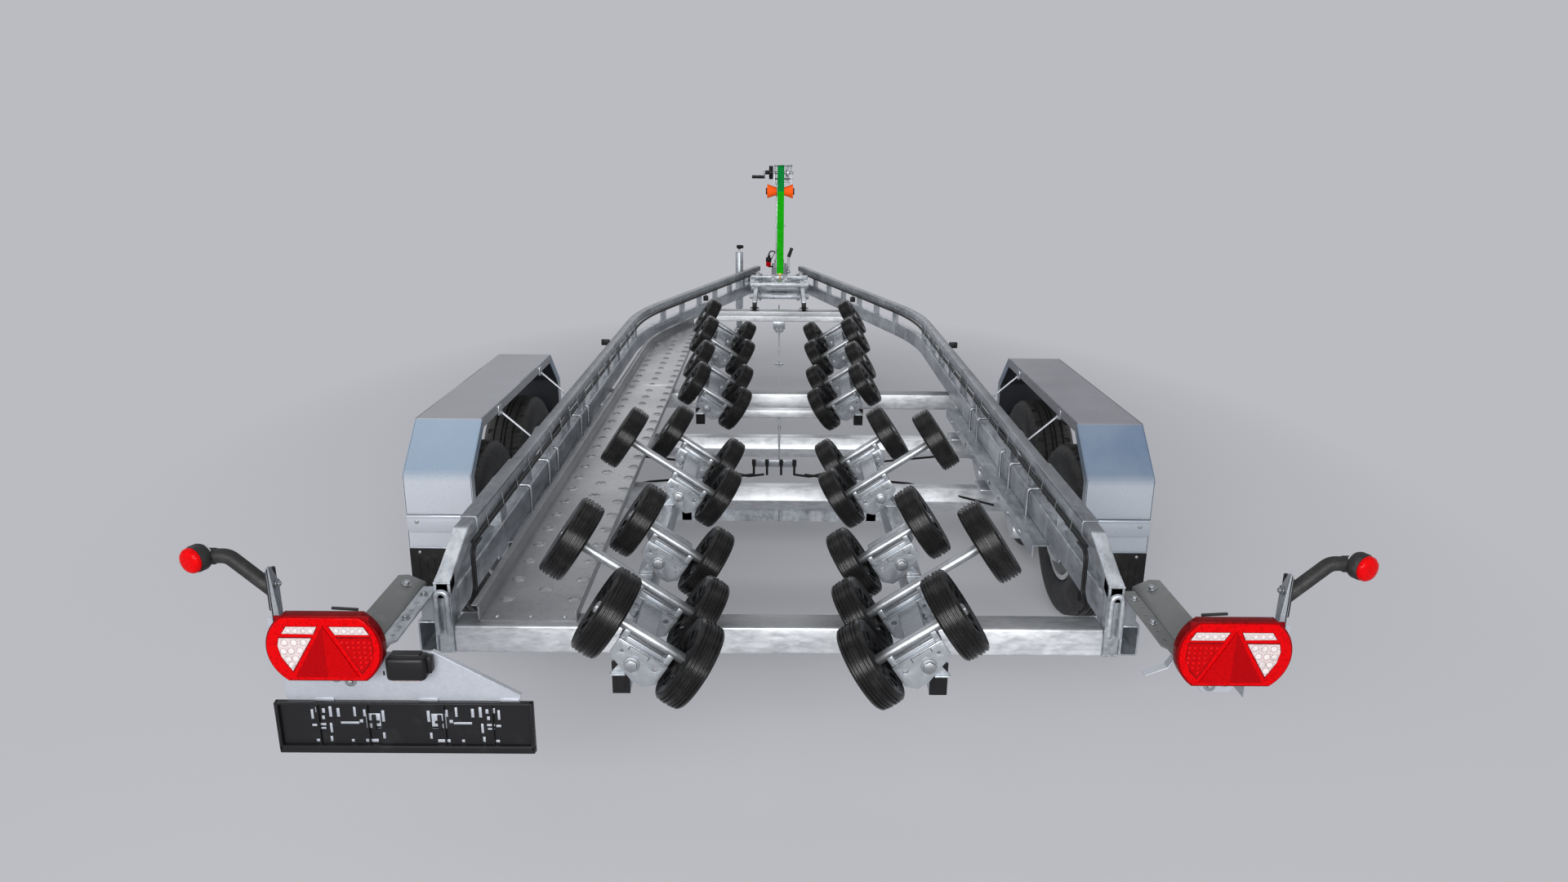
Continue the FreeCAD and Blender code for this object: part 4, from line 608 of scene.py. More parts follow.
# Darker copy of the strap webbing: painted shade on the wound coil and on the strap's run from the drum
greenWebShaded = webbing("greenWebShaded", (0.003, 0.26, 0.045))
greenWeb = webbing("greenWebbing", (0.012, 0.46, 0.006))
orangeRoller = plastic("bowOrange", (0.93, 0.105, 0.006), 0.34)
redLens = lens("redLens", (0.40, 0.001, 0.002))
# Darker red for the right half of the triangular reflector: painted shade
redReflectorShaded = lens("redReflectorShaded", (0.24, 0.001, 0.002), 0.12, 420, 0.6)
redPanel = lens("redPanel", (0.31, 0.001, 0.002), 0.14, 300, 0.5)
redBright = lens("brightRed", (0.44, 0.002, 0.003), 0.1, 260, 0.6)
darkRed = lens("darkRedRim", (0.14, 0.003, 0.004), 0.14, 90, 0.15)
clearLens = lens("clearLens", (0.42, 0.36, 0.36), 0.08, 300, 0.5)
domeGlass = lens("domeGlass", (0.46, 0.42, 0.42), 0.05, 60, 0.1)
clearEdge = lens("clearEdge", (0.28, 0.20, 0.20), 0.2, 200, 0.2)
clearLamp = lens("markerClear", (0.55, 0.56, 0.56), 0.1, 200, 0.3)
goldHook = brightSteel("goldHook", (0.80, 0.56, 0.20), 0.28)
print("finishes ready")

# Side trusses: two chords, folded posts, mitred rear end, corner web, lamp stub, tie-down loop

rail = {"outer": 865, "wide": 40, "corner": 6, "upper": (701, 743), "lower": (547, 627), "rear": -3134,
        "end": 46, "mitre": 184, "drop": 78, "bendStart": 293, "bendRadius": 2400, "bend": 16, "front": 2960,
        "post": 62, "postFold": 13, "postSheet": 4, "pitch": 330, "straightPosts": 10, "frontPosts": 6,
        "web": 300, "sleeve": (-2880, -2360), "stub": (190, 50, 472, 560)}
bendSine, bendCosine = math.sin(math.radians(rail["bend"])), math.cos(math.radians(rail["bend"]))
bendCentre = (rail["outer"] - rail["bendRadius"], rail["bendStart"], 0)
railMiddle = rail["outer"] - rail["wide"] / 2


# The bend and the straight run after it, for a line that lies inset from the outer face
def railPath(inset, front, extra=60):
    radius = rail["bendRadius"] - inset
    run = (front - rail["bendStart"] - radius * bendSine) / bendCosine + extra
    return (bendCentre, (0, 0, 1), rail["bend"], 12), (-bendSine * run, bendCosine * run, 0)


def railRun(inset, wide, low, high, rear, front, corner):
    turn, last = railPath(inset + wide / 2, front)
    start = (rail["outer"] - inset - wide / 2, rear, (low + high) / 2)
    item = swept(start, [(0, rail["bendStart"] - rear, 0), turn, last], section=(wide, high - low, corner))
    return sliced(item, ((0, front, 0), (0, 1, 0)))


# Place on the rail's middle line, along millimetres past the bend, or before it at y
def railSpot(y=None, along=None, inset=20):
    if along is None:
        return shifted(rail["outer"] - inset, y, 0)
    radius = rail["bendRadius"] - inset
    x = rail["outer"] - inset - radius * (1 - bendCosine) - along * bendSine
    y = rail["bendStart"] + radius * bendSine + along * bendCosine
    return shifted(x, y, 0) @ Matrix.Rotation(math.radians(rail["bend"]), 4, "Z")


def makeTruss():
    low, high = rail["upper"]
    top = rail["rear"] + rail["mitre"]
    inner = rail["outer"] - rail["wide"]
    parts = [railRun(0, rail["wide"], low, high, top, rail["front"], rail["corner"]),
             railRun(0, rail["wide"], *rail["lower"], rail["rear"] + rail["end"], rail["front"], rail["corner"])]
    # The upright end and the sloping piece meet the upper chord in mitres
    rear, foot = rail["rear"], high - rail["drop"]
    upright = block((inner, rear, 471), (rail["outer"], rear + rail["end"], foot + 40), rail["corner"], 3)
    parts.append(sliced(upright, ((0, rear, foot), (0, -0.32, 1))))
    slope = math.atan2(rail["drop"], rail["mitre"])
    long = math.hypot(rail["drop"], rail["mitre"])
    sloping = block((inner, -30, -rail["wide"]), (rail["outer"], long + 30, 0), rail["corner"], 3)
    placed(sloping, shifted(0, rear, foot) @ Matrix.Rotation(slope, 4, "X"))
    parts.append(sliced(sloping, ((0, rear, 0), (0, -1, 0)), ((0, top, 0), (0, 1, 0))))
    web = block((railMiddle, rear + rail["end"] - 4, 625), (railMiddle + 4, top + rail["web"], 703), 0)
    parts.append(sliced(web, ((0, top + rail["web"], 627), (0, 74, 150)),
                        ((0, rear + rail["end"], foot - 24), (0, -0.39, 0.92))))
    post = folded([(-rail["postFold"], -rail["post"] / 2, 623), (rail["postFold"], 0, 623),
                   (-rail["postFold"], rail["post"] / 2, 623)], (0, 0, 82), rail["postSheet"], 0, 0.8)
    first = top + rail["web"] + rail["post"]
    spots = [railSpot(first + index * rail["pitch"]) for index in range(rail["straightPosts"])]
    spots += [railSpot(None, rail["post"] / 2 + index * rail["pitch"]) for index in range(rail["frontPosts"])]
    parts += [copied(post, spot) for spot in spots]
    bpy.data.objects.remove(post)
    sleeveRear, sleeveFront = rail["sleeve"]
    parts.append(block((inner - 3, sleeveRear, low - 3), (rail["outer"] + 3, sleeveFront, high + 3), 4, 3))
    # Open lamp stub beside the lower end
    long, wide, stubLow, stubHigh = rail["stub"]
    stub = block((rail["outer"], rear, stubLow), (rail["outer"] + wide, rear + long, stubHigh), 6, 3)
    carved(stub, [block((rail["outer"] + 6, rear - 9, stubLow + 6), (rail["outer"] + wide - 6, rear + long + 9,
                                                                   stubHigh - 6), 3, 2)])
    parts.append(stub)
    # Tie-down loop, an upside-down U welded to the end
    spread = 14
    loopY = rear - 12
    parts.append(swept((railMiddle - spread, loopY, 530), [
        (0, 0, 100), ((railMiddle, loopY, 630), (0, 1, 0), 180, 10), (0, 0, -100)], radius=7, sides=14))
    parts += [bar((railMiddle + way * spread, loopY + 4, 530), (railMiddle + way * spread, loopY + 4, 560), 9, 12, 2)
              for way in (-1, 1)]
    # Weld beads across the upright rear end
    parts += [bar((inner - 1, rear + 2, z), (rail["outer"] + 1, rear + 2, z), 3, 10) for z in (473, foot - 3)]
    return parts


truss = joined(painted(railTube, *makeTruss()))
trussLeft = copied(truss, mirrorX)
dressed("side_truss_steel_right", [truss], "trailer", "galvanised_steel", "side_truss_right")
dressed("side_truss_steel_left", [trussLeft], "trailer", "galvanised_steel", "side_truss_left")
print("side trusses ready")

# Cross beams: rectangular tubes, the low axle bar with its hangers, the front beam and its bracket

beam = {"deep": 80, "tall": 76, "top": 547, "corner": 7, "middle": -644, "front": 1650, "frontTop": 582,
        "frontHalf": 640, "bar": (-740, 449, 489, 50), "barHalf": 360, "hangerX": 300}


def makeBeams():
    inner = rail["outer"] - rail["wide"]
    top, low, deep = beam["top"], beam["top"] - beam["tall"], beam["deep"]
    parts = [block((-inner, rail["rear"], low), (inner, rail["rear"] + deep, top), beam["corner"], 3),
             block((-rail["outer"], beam["middle"], low), (rail["outer"], beam["middle"] + deep, top),
                   beam["corner"], 3)]
    # The front beam stops against the chords, which lean inwards there
    front = block((-beam["frontHalf"], beam["front"], beam["frontTop"] - beam["tall"]),
                  (beam["frontHalf"], beam["front"] + deep, beam["frontTop"]), beam["corner"], 3)
    spot = railSpot(None, (beam["front"] - 954) / bendCosine, 40).translation / mm
    lean = (bendCosine, bendSine, 0)
    sliced(front, (spot, lean), ((-spot.x, spot.y, spot.z), (-lean[0], lean[1], 0)))
    parts.append(front)
    y, barLow, barTop, barDeep = beam["bar"]
    parts.append(block((-beam["barHalf"], y, barLow), (beam["barHalf"], y + barDeep, barTop), 5, 3))
    for x in (-beam["hangerX"], beam["hangerX"]):
        plate = block((x - 3, y, barLow + 8), (x + 3, beam["middle"] + 40, low + 2), 0)
        parts.append(rounded(sliced(plate, ((0, y, barTop), (0, -(low - barTop), y - beam["middle"])),
                                    ((0, y + barDeep, barLow + 8), (0, 40, -14))), 1, 2))
    # Bracket of the brake rod under the front beam
    parts.append(folded([(-34, 1668, 506), (-34, 1668, 432), (34, 1668, 432), (34, 1668, 506)], (0, 44, 0), 4, 0, 1))
    for x in (-23, 23):
        parts.append(bar((x, 1690, 505), (x, 1690, 434), 5, 12))
    return parts


def makeBeamBolts():
    bolts = [bolt((x, 1690, 430), (0, 0, -1), 8, 6, 11) for x in (-14, 14)]
    for x in (-beam["hangerX"], beam["hangerX"]):
        bolts += [bolt((x - 3, -715, 468), (-1, 0, 0)), bolt((x + 3, -715, 468), (1, 0, 0))]
    return bolts


dressed("cross_beam_tubes", painted(zincBeam, *makeBeams()) + painted(zincBolt, *makeBeamBolts()), "trailer",
        "galvanised_steel", "cross_beams")
print("cross beams ready")

# Axle channels with slots, clamping bolts and U-bolts over the lower chord

channel = {"rear": -2570, "front": -900, "inner": 775, "sheet": 5, "lip": 40, "skirt": 60, "top": 547,
           "axles": (-1710, -1020), "foot": 12, "footLong": 170, "axleTop": 441,
           "uBolts": (-1261, -1421, -1883, -2032, -2307), "slots": 9}


def uBolt(x0, x1, y, low, top, radius=6):
    middle, spread = (x0 + x1) / 2, (x1 - x0) / 2
    return swept((x0, y, low), [(0, 0, top - low - 14), ((x0 + 14, y, top - 14), (0, 1, 0), 90, 5),
                                (2 * spread - 28, 0, 0), ((x1 - 14, y, top - 14), (0, 1, 0), 90, 5),
                                (0, 0, -(top - low - 14))], radius=radius, sides=12)


def makeChannel():
    inner, outer, top = channel["inner"], rail["outer"], channel["top"]
    run = (0, channel["front"] - channel["rear"], 0)
    sheet = folded([(inner, channel["rear"], top - channel["lip"]), (inner, channel["rear"], top),
                    (outer, channel["rear"], top), (outer, channel["rear"], top - channel["skirt"])],
                   run, channel["sheet"], -1, 1)
    pitch = -run[1] / (channel["slots"] + 1)
    holes = [block((inner - 10, channel["rear"] - pitch * index - 22, top - 30),
                   (inner + 10, channel["rear"] - pitch * index + 22, top - 16), 6, 3)
             for index in range(1, channel["slots"] + 1)]
    parts = [carved(sheet, holes)]
    for axle in channel["axles"]:
        foot = block((outer - channel["foot"] - channel["sheet"], axle - channel["footLong"] / 2,
                      channel["axleTop"]), (outer - channel["sheet"], axle + channel["footLong"] / 2, top - 2), 1.5)
        side = block((outer - 90, axle - 58, channel["axleTop"] - 2), (outer - 17, axle + 58,
                                                                      channel["axleTop"] + 7), 2)
        parts += [foot, side]
    return parts


def makeChannelBolts():
    parts = []
    for y in channel["uBolts"]:
        parts.append(uBolt(816, 874, y, 516, 640))
        parts += [bolt((x, y, 542), (0, 0, -1), 10, 9, 13) for x in (816,)]
        parts.append(bolt((874, y, 520), (0, 0, -1), 10, 9, 13))
    for axle in channel["axles"]:
        for shift in (-60, 60):
            parts.append(bolt((rail["outer"], axle + shift, 505), (1, 0, 0), 11, 8, 15))
            parts.append(bolt((rail["outer"] - 17, axle + shift, 480), (-1, 0, 0), 10, 8, 14))
    return parts


dressed("axle_channel_sheets", both(painted(zincTube, *makeChannel()) + painted(zincBolt, *makeChannelBolts())),
        "trailer", "galvanised_steel", "axle_channels")
print("axle channels ready")

# Axles: hexagonal tubes with rubber suspension, trailing arms, brake plates, stub axles

axle = {"half": 880, "z": 395, "flats": 92, "arm": (40, 80), "wheelZ": 325, "wheelY": (-1863, -1173),
        "stub": 22, "plate": 122, "plateX": 1042, "sheet": 6}


def makeAxle(axleY, wheelY):
    across = axle["flats"] / math.cos(math.radians(30))
    tube = bar((-axle["half"], 0, 0), (axle["half"], 0, 0), across / 2, 6)
    placed(tube, shifted(0, axleY, axle["z"]) @ Matrix.Rotation(math.radians(30), 4, "X"))
    parts = [rounded(tube, 3, 2, 20)]
    half = []
    thick, wide = axle["arm"]
    start = axle["half"]
    arm = hulled([bar((start, axleY, axle["z"]), (start + thick, axleY, axle["z"]), wide / 2 + 2, 32),
                  bar((start, wheelY, axle["wheelZ"]), (start + thick, wheelY, axle["wheelZ"]), wide / 2 - 4, 32)])
    half.append(rounded(arm, 3, 2, 50))
    half.append(bar((start - 6, axleY, axle["z"]), (start + 0.5, axleY, axle["z"]), across / 2 + 5, 6, 1))
    half.append(bar((start + thick - 1, wheelY, axle["wheelZ"]), (start + thick + 60, wheelY, axle["wheelZ"]),
                    34, 32, 2))
    half.append(bar((start + thick, wheelY, axle["wheelZ"]), (1172, wheelY, axle["wheelZ"]), axle["stub"] - 0.4, 32))
    shell = lathed([(0, 40), (0, 118), (6, 121.5), (11.4, 121.5), (11.4, 114), (5, 112), (5, 40)], 48, True)
    placed(shell, aimed((1, 0, 0), (axle["plateX"] - 1, wheelY, axle["wheelZ"])))
    half.append(shell)
    # Cable entry and adjuster of the brake
    half.append(block((axle["plateX"] - 16, wheelY + 48, axle["wheelZ"] - 20),
                      (axle["plateX"] + 2, wheelY + 92, axle["wheelZ"] + 14), 4))
    return parts + both(half)


axleParts = []
for axleY, wheelY in zip(channel["axles"], axle["wheelY"]):
    axleParts += makeAxle(axleY, wheelY)
dressed("hexagonal_axles", painted(zincBeam, *axleParts), "trailer", "galvanised_steel", "axle_beams")
print("axles ready")

# Wheels: tyre with ribs and grooves, rim with ventilation openings, hub with five bolts

wheel = {"x": 1143, "radius": 325, "wide": 185, "rim": 190, "rimWide": 150, "disc": 30, "hub": 34,
         "drum": 128, "openings": 10, "bolts": 5, "boltRing": 70}


def makeTyre():
    half = wheel["wide"] / 2
    tread, radius = 66, wheel["radius"]
    profile = [(68.7, 178.3), (68.7, 196), (74, 199), (80.5, 208), (88, 226), (half, 257), (91, 278), (87, 296),
               (80, 309), (71, 317.5)]
    grooves = [(tread, 321), (44, 323.6), (42, 323.6), (40, 316.5), (35, 316.5), (33, 324), (14, 325), (12, 325),
               (10, 317.5), (5, 317.5), (3, 325)]
    outline = profile + grooves
    outline += [(-x, r) for x, r in reversed(outline)]
    tyre = lathed(outline, 96, True)
    only(tyre)
    # Shoulder blocks: every other pair of faces of the outer rib sinks in
    bpy.context.tool_settings.mesh_select_mode = (False, False, True)
    for face in tyre.data.polygons:
        spot = face.center / mm
        angle = math.degrees(math.atan2(spot.y, spot.x)) % 15
        reach = math.hypot(spot.x, spot.y)
        face.select = 318.8 < reach < 322.9 and 66 > abs(spot.z) > 44 and angle < 3.8
    for edge in tyre.data.edges:
        edge.select = False
    bpy.ops.object.mode_set(mode="EDIT")
    bpy.ops.mesh.extrude_region_shrink_fatten(TRANSFORM_OT_shrink_fatten={"value": -0.006})
    bpy.ops.object.mode_set(mode="OBJECT")
    return tyre


# Rim about the Z axis, outboard along +Z
def makeRim():
    half, rim = wheel["rimWide"] / 2, wheel["rim"]
    shell = lathed([(-half, 173), (-half, 190), (-69, 189.5), (-66, 178), (-30, 177), (-24, 168), (20, 168),
                    (28, 177), (66, 178), (69, 189.5), (half, 190), (half, 186), (70, 173), (34, 171.5), (26, 163),
                    (-22, 163), (-34, 171), (-62, 172)], 64, True)
    disc = lathed([(22, 34), (22, 92), (30, 118), (34, 140), (26, 163.5), (31, 164), (39, 141), (35, 117),
                   (27, 90), (27, 34)], 64, True)
    step = 360 / wheel["openings"]
    slots = []
    for index in range(wheel["openings"]):
        slot = bar((132, 0, 0), (132, 0, 70), 12, 16)
        slot.scale = (0.9, 1.5, 1)
        settled(slot)
        slots.append(placed(slot, Matrix.Rotation(math.radians(step * index), 4, "Z")))
    carved(disc, slots)
    hub = lathed([(-90, 22.1), (-90, 128), (15, 128), (15, 90), (21, 88), (21, 33.9), (54, 33.9), (60, 30), (60, 6),
                  (31.5, 6), (31.5, 22.1)], 48, True)
    cap = lathed([(31.2, 21), (31.2, 34.2), (56, 34.2), (61, 30), (62, 14), (62, 0.5)], 40)
    studs = []
    for index in range(wheel["bolts"]):
        angle = math.radians(360 / wheel["bolts"] * index)
        spot = (wheel["boltRing"] * math.cos(angle), wheel["boltRing"] * math.sin(angle), 26)
        studs.append(bolt(spot, (0, 0, 1), 11, 14, 14))
    valve = bar((150, 0, 33), (150, 0, 62), 4.5, 12, 1)
    return painted(rimSteel, shell, disc) + painted(zincBolt, hub, cap, *studs) + painted(blackCap, valve)


rimParts = makeRim()
rimMaster = joined(rimParts)
tyreMaster = makeTyre()
for word, y in (("rear", axle["wheelY"][0]), ("front", axle["wheelY"][1])):
    for hand, sign in (("right", 1), ("left", -1)):
        place = shifted(sign * wheel["x"], y, axle["wheelZ"]) @ Matrix.Rotation(math.radians(sign * 90), 4, "Y")
        middle = (sign * wheel["x"] * mm, y * mm, axle["wheelZ"] * mm)
        tyre = painted(tyreRubber(f"tyreRubber{word.title()}{hand.title()}", middle), copied(tyreMaster, place))
        body = f"wheel_{word}_{hand}"
        dressed(f"tyre_tread_{word}_{hand}", tyre, body, "tyre_rubber", f"tyre_{word}_{hand}")
        dressed(f"rim_disc_{word}_{hand}", [copied(rimMaster, place)], body, "rim_steel", f"rim_{word}_{hand}")
for master in (rimMaster, tyreMaster):
    bpy.data.objects.remove(master)
print("wheels ready")

# Mudguards: folded hoods with rims, rear step strip, screws, stays; mudflaps below

guard = {"inner": 1030, "outer": 1260, "top": 798, "middle": -1518, "topLong": 1100, "run": 172, "drop": 150,
         "bottom": 362, "sheet": 4, "lip": 34, "flap": 150, "strip": 26, "stayLean": 17, "stayInset": 330}


def makeGuard():
    inner, outer, sheet = guard["inner"], guard["outer"], guard["sheet"]
    flat, run, top = guard["topLong"] / 2, guard["run"], guard["top"]
    rear, fore = guard["middle"] - flat - run, guard["middle"] + flat + run
    line = [(rear, guard["bottom"]), (rear, top - guard["drop"]), (guard["middle"] - flat, top),
            (guard["middle"] + flat, top), (fore, top - guard["drop"]), (fore, guard["bottom"])]
    width = outer - inner - 0.4
    hood = folded([(inner + 0.2, y, z) for y, z in line], (width, 0, 0), sheet, 1, 1.6)
    parts = [hood]
    # Edge flanges follow the hood at both sides
    for low, high in ((inner, inner + sheet - 0.4), (outer - sheet + 0.4, outer)):
        parts.append(mitred([(y, z) for y, z in line], guard["lip"], low, high))
    parts.append(block((inner + 2, rear - sheet, guard["bottom"]), (outer - 2, rear + 1,
                                                                    guard["bottom"] + guard["strip"]), 1.2))
    # Step strip across the rear face, with its hem and rounded lower corners
    step = block((inner + 3, rear - sheet - 7, 447), (outer - 3, rear, 509), 2)
    sliced(step, ((inner + 15, rear, 447), (-1, 0, -1)), ((outer - 15, rear, 447), (1, 0, -1)))
    parts += [rounded(step, 2, 2, 30), block((inner + 3, rear - sheet - 9, 497), (outer - 3, rear, 509), 2.5, 3)]
    long = guard["inner"] - rail["outer"]
    lift = long * math.tan(math.radians(guard["stayLean"]))
    for sign in (-1, 1):
        y = guard["middle"] + sign * guard["stayInset"]
        parts.append(bar((rail["outer"] - 1, y, 722 - 2 * lift), (inner + 3, y, 722 + lift), 4, 16))
        parts.append(block((rail["outer"], y - 22, 590), (rail["outer"] + 5, y + 22, 625), 2))
        parts.append(block((inner - 5, y - 20, 722 + lift - 18), (inner + 1, y + 20, 722 + lift + 18), 2))
    for y in (rear + sheet, fore - sheet - 60):
        parts.append(block((rail["outer"], y, 507), (inner + sheet, y + 60, 512), 1.2))
    return parts


# Dark sheet just inside the hood: painted shade under the guard
def makeShadeSheet():
    inner, outer, top = guard["inner"] + 5, guard["outer"] - 5, guard["top"] - 7
    flat, run = guard["topLong"] / 2 - 3, guard["run"] - 4
    rear, fore = guard["middle"] - flat - run, guard["middle"] + flat + run
    line = [(rear, guard["bottom"] + 4), (rear, top - guard["drop"]), (guard["middle"] - flat, top),
            (guard["middle"] + flat, top), (fore, top - guard["drop"]), (fore, guard["bottom"] + 4)]
    return folded([(inner, y, z) for y, z in line], (outer - inner, 0, 0), 1, 0)


guardSheets = both(painted(zincHoodPaintedLight, *makeGuard())) + both(painted(paintedShadeSheet, makeShadeSheet()))
rear = guard["middle"] - guard["topLong"] / 2 - guard["run"]
screws = []
for x in (guard["inner"] + 38, guard["outer"] - 38):
    screws.append(bolt((x, rear - guard["sheet"], guard["bottom"] + 13), (0, -1, 0), 6, 4, 9))
    screws.append(bolt((x, rear - 11, 486), (0, -1, 0), 4, 3, 7))
for sign in (-1, 1):
    screws.append(bolt((guard["inner"] - 5, guard["middle"] + sign * guard["stayInset"], 760), (-1, 0, 0), 7, 6, 10))
dressed("mudguard_hoods", guardSheets + both(painted(zincBolt, *screws)), "trailer", "galvanised_sheet",
        "mudguards")


def makeFlap():
    low, high = guard["bottom"] - guard["flap"], guard["bottom"] + guard["strip"]
    flap = block((guard["inner"] + 4, rear - 10, low), (guard["outer"] - 4, rear - 4.2, high), 1.2)
    ribs = [block((guard["inner"] + 12 + index * 26, rear - 11.6, low + 10),
                  (guard["inner"] + 16 + index * 26, rear - 9, guard["bottom"] - 12), 0.8, 1) for index in range(8)]
    return joined([flap] + ribs)


dressed("mudflap_sheets", both(painted(rubberFlap, makeFlap())), "trailer", "flap_rubber", "mudflaps")
print("mudguards ready")

# Walkway: folded sheet with raised holes, two flanges and rivets

walk = {"left": 768, "wide": 250, "rear": -3108, "front": 1300, "sheet": 3, "flange": 45, "lip": 16, "inner": 27,
        "columns": (727, 637, 547), "pitch": 128, "first": -2982, "rows": 33, "hole": 14, "rise": 3.5}


def makeWalkway():
    left, right, top, sheet = walk["left"], walk["left"] - walk["wide"], beam["top"], walk["sheet"]
    floor = railRun(rail["outer"] - left, walk["wide"], top, top + sheet, walk["rear"], walk["front"], 0.8)
    # The inner edge stays straight while the outer one follows the rail's bend
    sliced(floor, ((right, 0, 0), (-1, 0, 0)))
    inset = rail["outer"] - left
    outer = railRun(inset, sheet, top, top + walk["flange"], walk["rear"], walk["front"], 0.8)
    lip = railRun(inset - walk["lip"], walk["lip"] + sheet, top + walk["flange"] - sheet, top + walk["flange"],
                  walk["rear"], walk["front"], 0.8)
    inner = block((right, walk["rear"], top), (right + sheet, walk["front"], top + walk["inner"]), 0.8)
    spots = []
    for index in range(walk["rows"]):
        y = walk["first"] + index * walk["pitch"]
        spots += [(walk["columns"][0], y), (walk["columns"][2], y)]
        if index + 1 < walk["rows"]:
            spots.append((walk["columns"][1], y + walk["pitch"] / 2))
    spots = [(x, y) for x, y in spots if x < walkLimit(y)]
    radius = walk["hole"]
    carved(floor, [bar((x, y, top - 4), (x, y, top + 8), radius, 20) for x, y in spots])
    ring = lathed([(0.5, radius - 0.4), (0.5, radius + 5.5), (sheet, radius + 5.5), (sheet + walk["rise"], radius + 0.8),
                   (sheet + walk["rise"], radius - 0.9)], 20, True)
    rings = [copied(ring, shifted(x, y, top)) for x, y in spots]
    bpy.data.objects.remove(ring)
    rivets = [lathed([(0, 6.5), (1.2, 6), (2.6, 3.6), (3, 0.4)], 14) for x in range(3)]
    rivets = [placed(rivet, shifted(x, walk["rear"] + 22, top + sheet)) for rivet, x in zip(rivets, (727, 640, 553))]
    return [floor, outer, lip, inner] + rings, rivets


# Outer limit of the hole pattern, which follows the rail's bend
def walkLimit(y):
    if y < rail["bendStart"]:
        return walk["left"]
    return walk["left"] - 28 - (y - rail["bendStart"] - 330) * 0.29 if y > 600 else walk["left"] - 20


walkSheets, rivets = makeWalkway()
walkSheets.append(block((521, -506, 547), (765, -500, 553), 0.8))
walkPiece = joined(painted(zincSheet, *walkSheets) + painted(zincBolt, *rivets))
dressed("walkway_sheet", [placed(walkPiece, mirrorX)], "trailer", "galvanised_sheet", "walkway")
print("walkway ready")

# Roller carriers: level tubes at the rear, sloping arms in front, saddles, U-bolts, ears and pins

carrier = {"x": 352, "wide": 40, "tall": 80, "rear": -3455, "front": -1760, "corner": 6, "saddle": 90,
           "armY": -719, "armZ": 681, "slope": 9.35, "armRear": -378, "armFront": 520, "rise": 71,
           "pivotX": 317, "tie": (-1812, 330, 370, 24), "tieHalf": 400}
rocker = {"tilt": 34, "axle": 64, "inner": 68, "outer": 54, "top": 38, "bottom": 34, "sheet": 5, "flange": 24,
          "back": 14, "half": 105, "long": 241, "single": 120, "pin": 12, "ear": 6, "earGap": 6}
rockerPlan = (
    ("rear_a", -3398, 658, 225, (105, 241), False), ("rear_b", -3000, 672, None, (105,), False),
    ("rear_c", -2282, 658, 330, (241, 105), False), ("front_a", -304, 0, 270, (105, 105), True),
    ("front_b", 304, 0, 270, (105, 105), True))
armFrame = shifted(0, carrier["armY"], carrier["armZ"]) @ Matrix.Rotation(math.radians(carrier["slope"]), 4, "X")


# Rear faces of a rocker's two walls, from its pivot's middle
def wallSpots(reach):
    back = rocker["back"] + rocker["sheet"]
    return (-back, rocker["single"] - back) if reach is None else (-reach / 2 - back, reach / 2 - back)


def pivotFrame(along, lift, sloping):
    frameOf = armFrame if sloping else Matrix.Identity(4)
    return frameOf @ shifted(carrier["pivotX"], along, lift)


def makeEars(reach):
    rear, fore = wallSpots(reach)
    under = carrier["rise"] - carrier["tall"] / 2
    foot = carrier["x"] - carrier["wide"] / 2 - carrier["pivotX"]
    parts = []
    for y in (rear + rocker["sheet"] + rocker["earGap"], fore - rocker["earGap"] - rocker["ear"]):
        ear = block((-16, y, -under), (foot + 36, y + rocker["ear"], 16), 0)
        sliced(ear, ((foot, 0, -under), (-(under - 8), 0, -(foot + 16))), ((16, 0, 8), (39, 0, 35)),
               ((16, 0, 8), (8, 0, 8)))
        parts.append(rounded(ear, 1.2, 2))
        parts.append(block((foot, y - 5, -under - 0.5), (foot + 34, y + 11, -under + 4), 1.5))
    head = [bar((0, rear - 1, 0), (0, fore + rocker["sheet"] + 1, 0), 9.95, 28)]
    bolts = []
    for y, way in ((rear - 1, -1), (fore + rocker["sheet"] + 1, 1)):
        bolts.append(bar((0, y, 0), (0, y + way * 2.4, 0), 17, 28, 0.6))
        bolts.append(bar((0, y + way * 2.4, 0), (0, y + way * 10.6, 0), 14.5, 6, 1))
    return parts, head + bolts


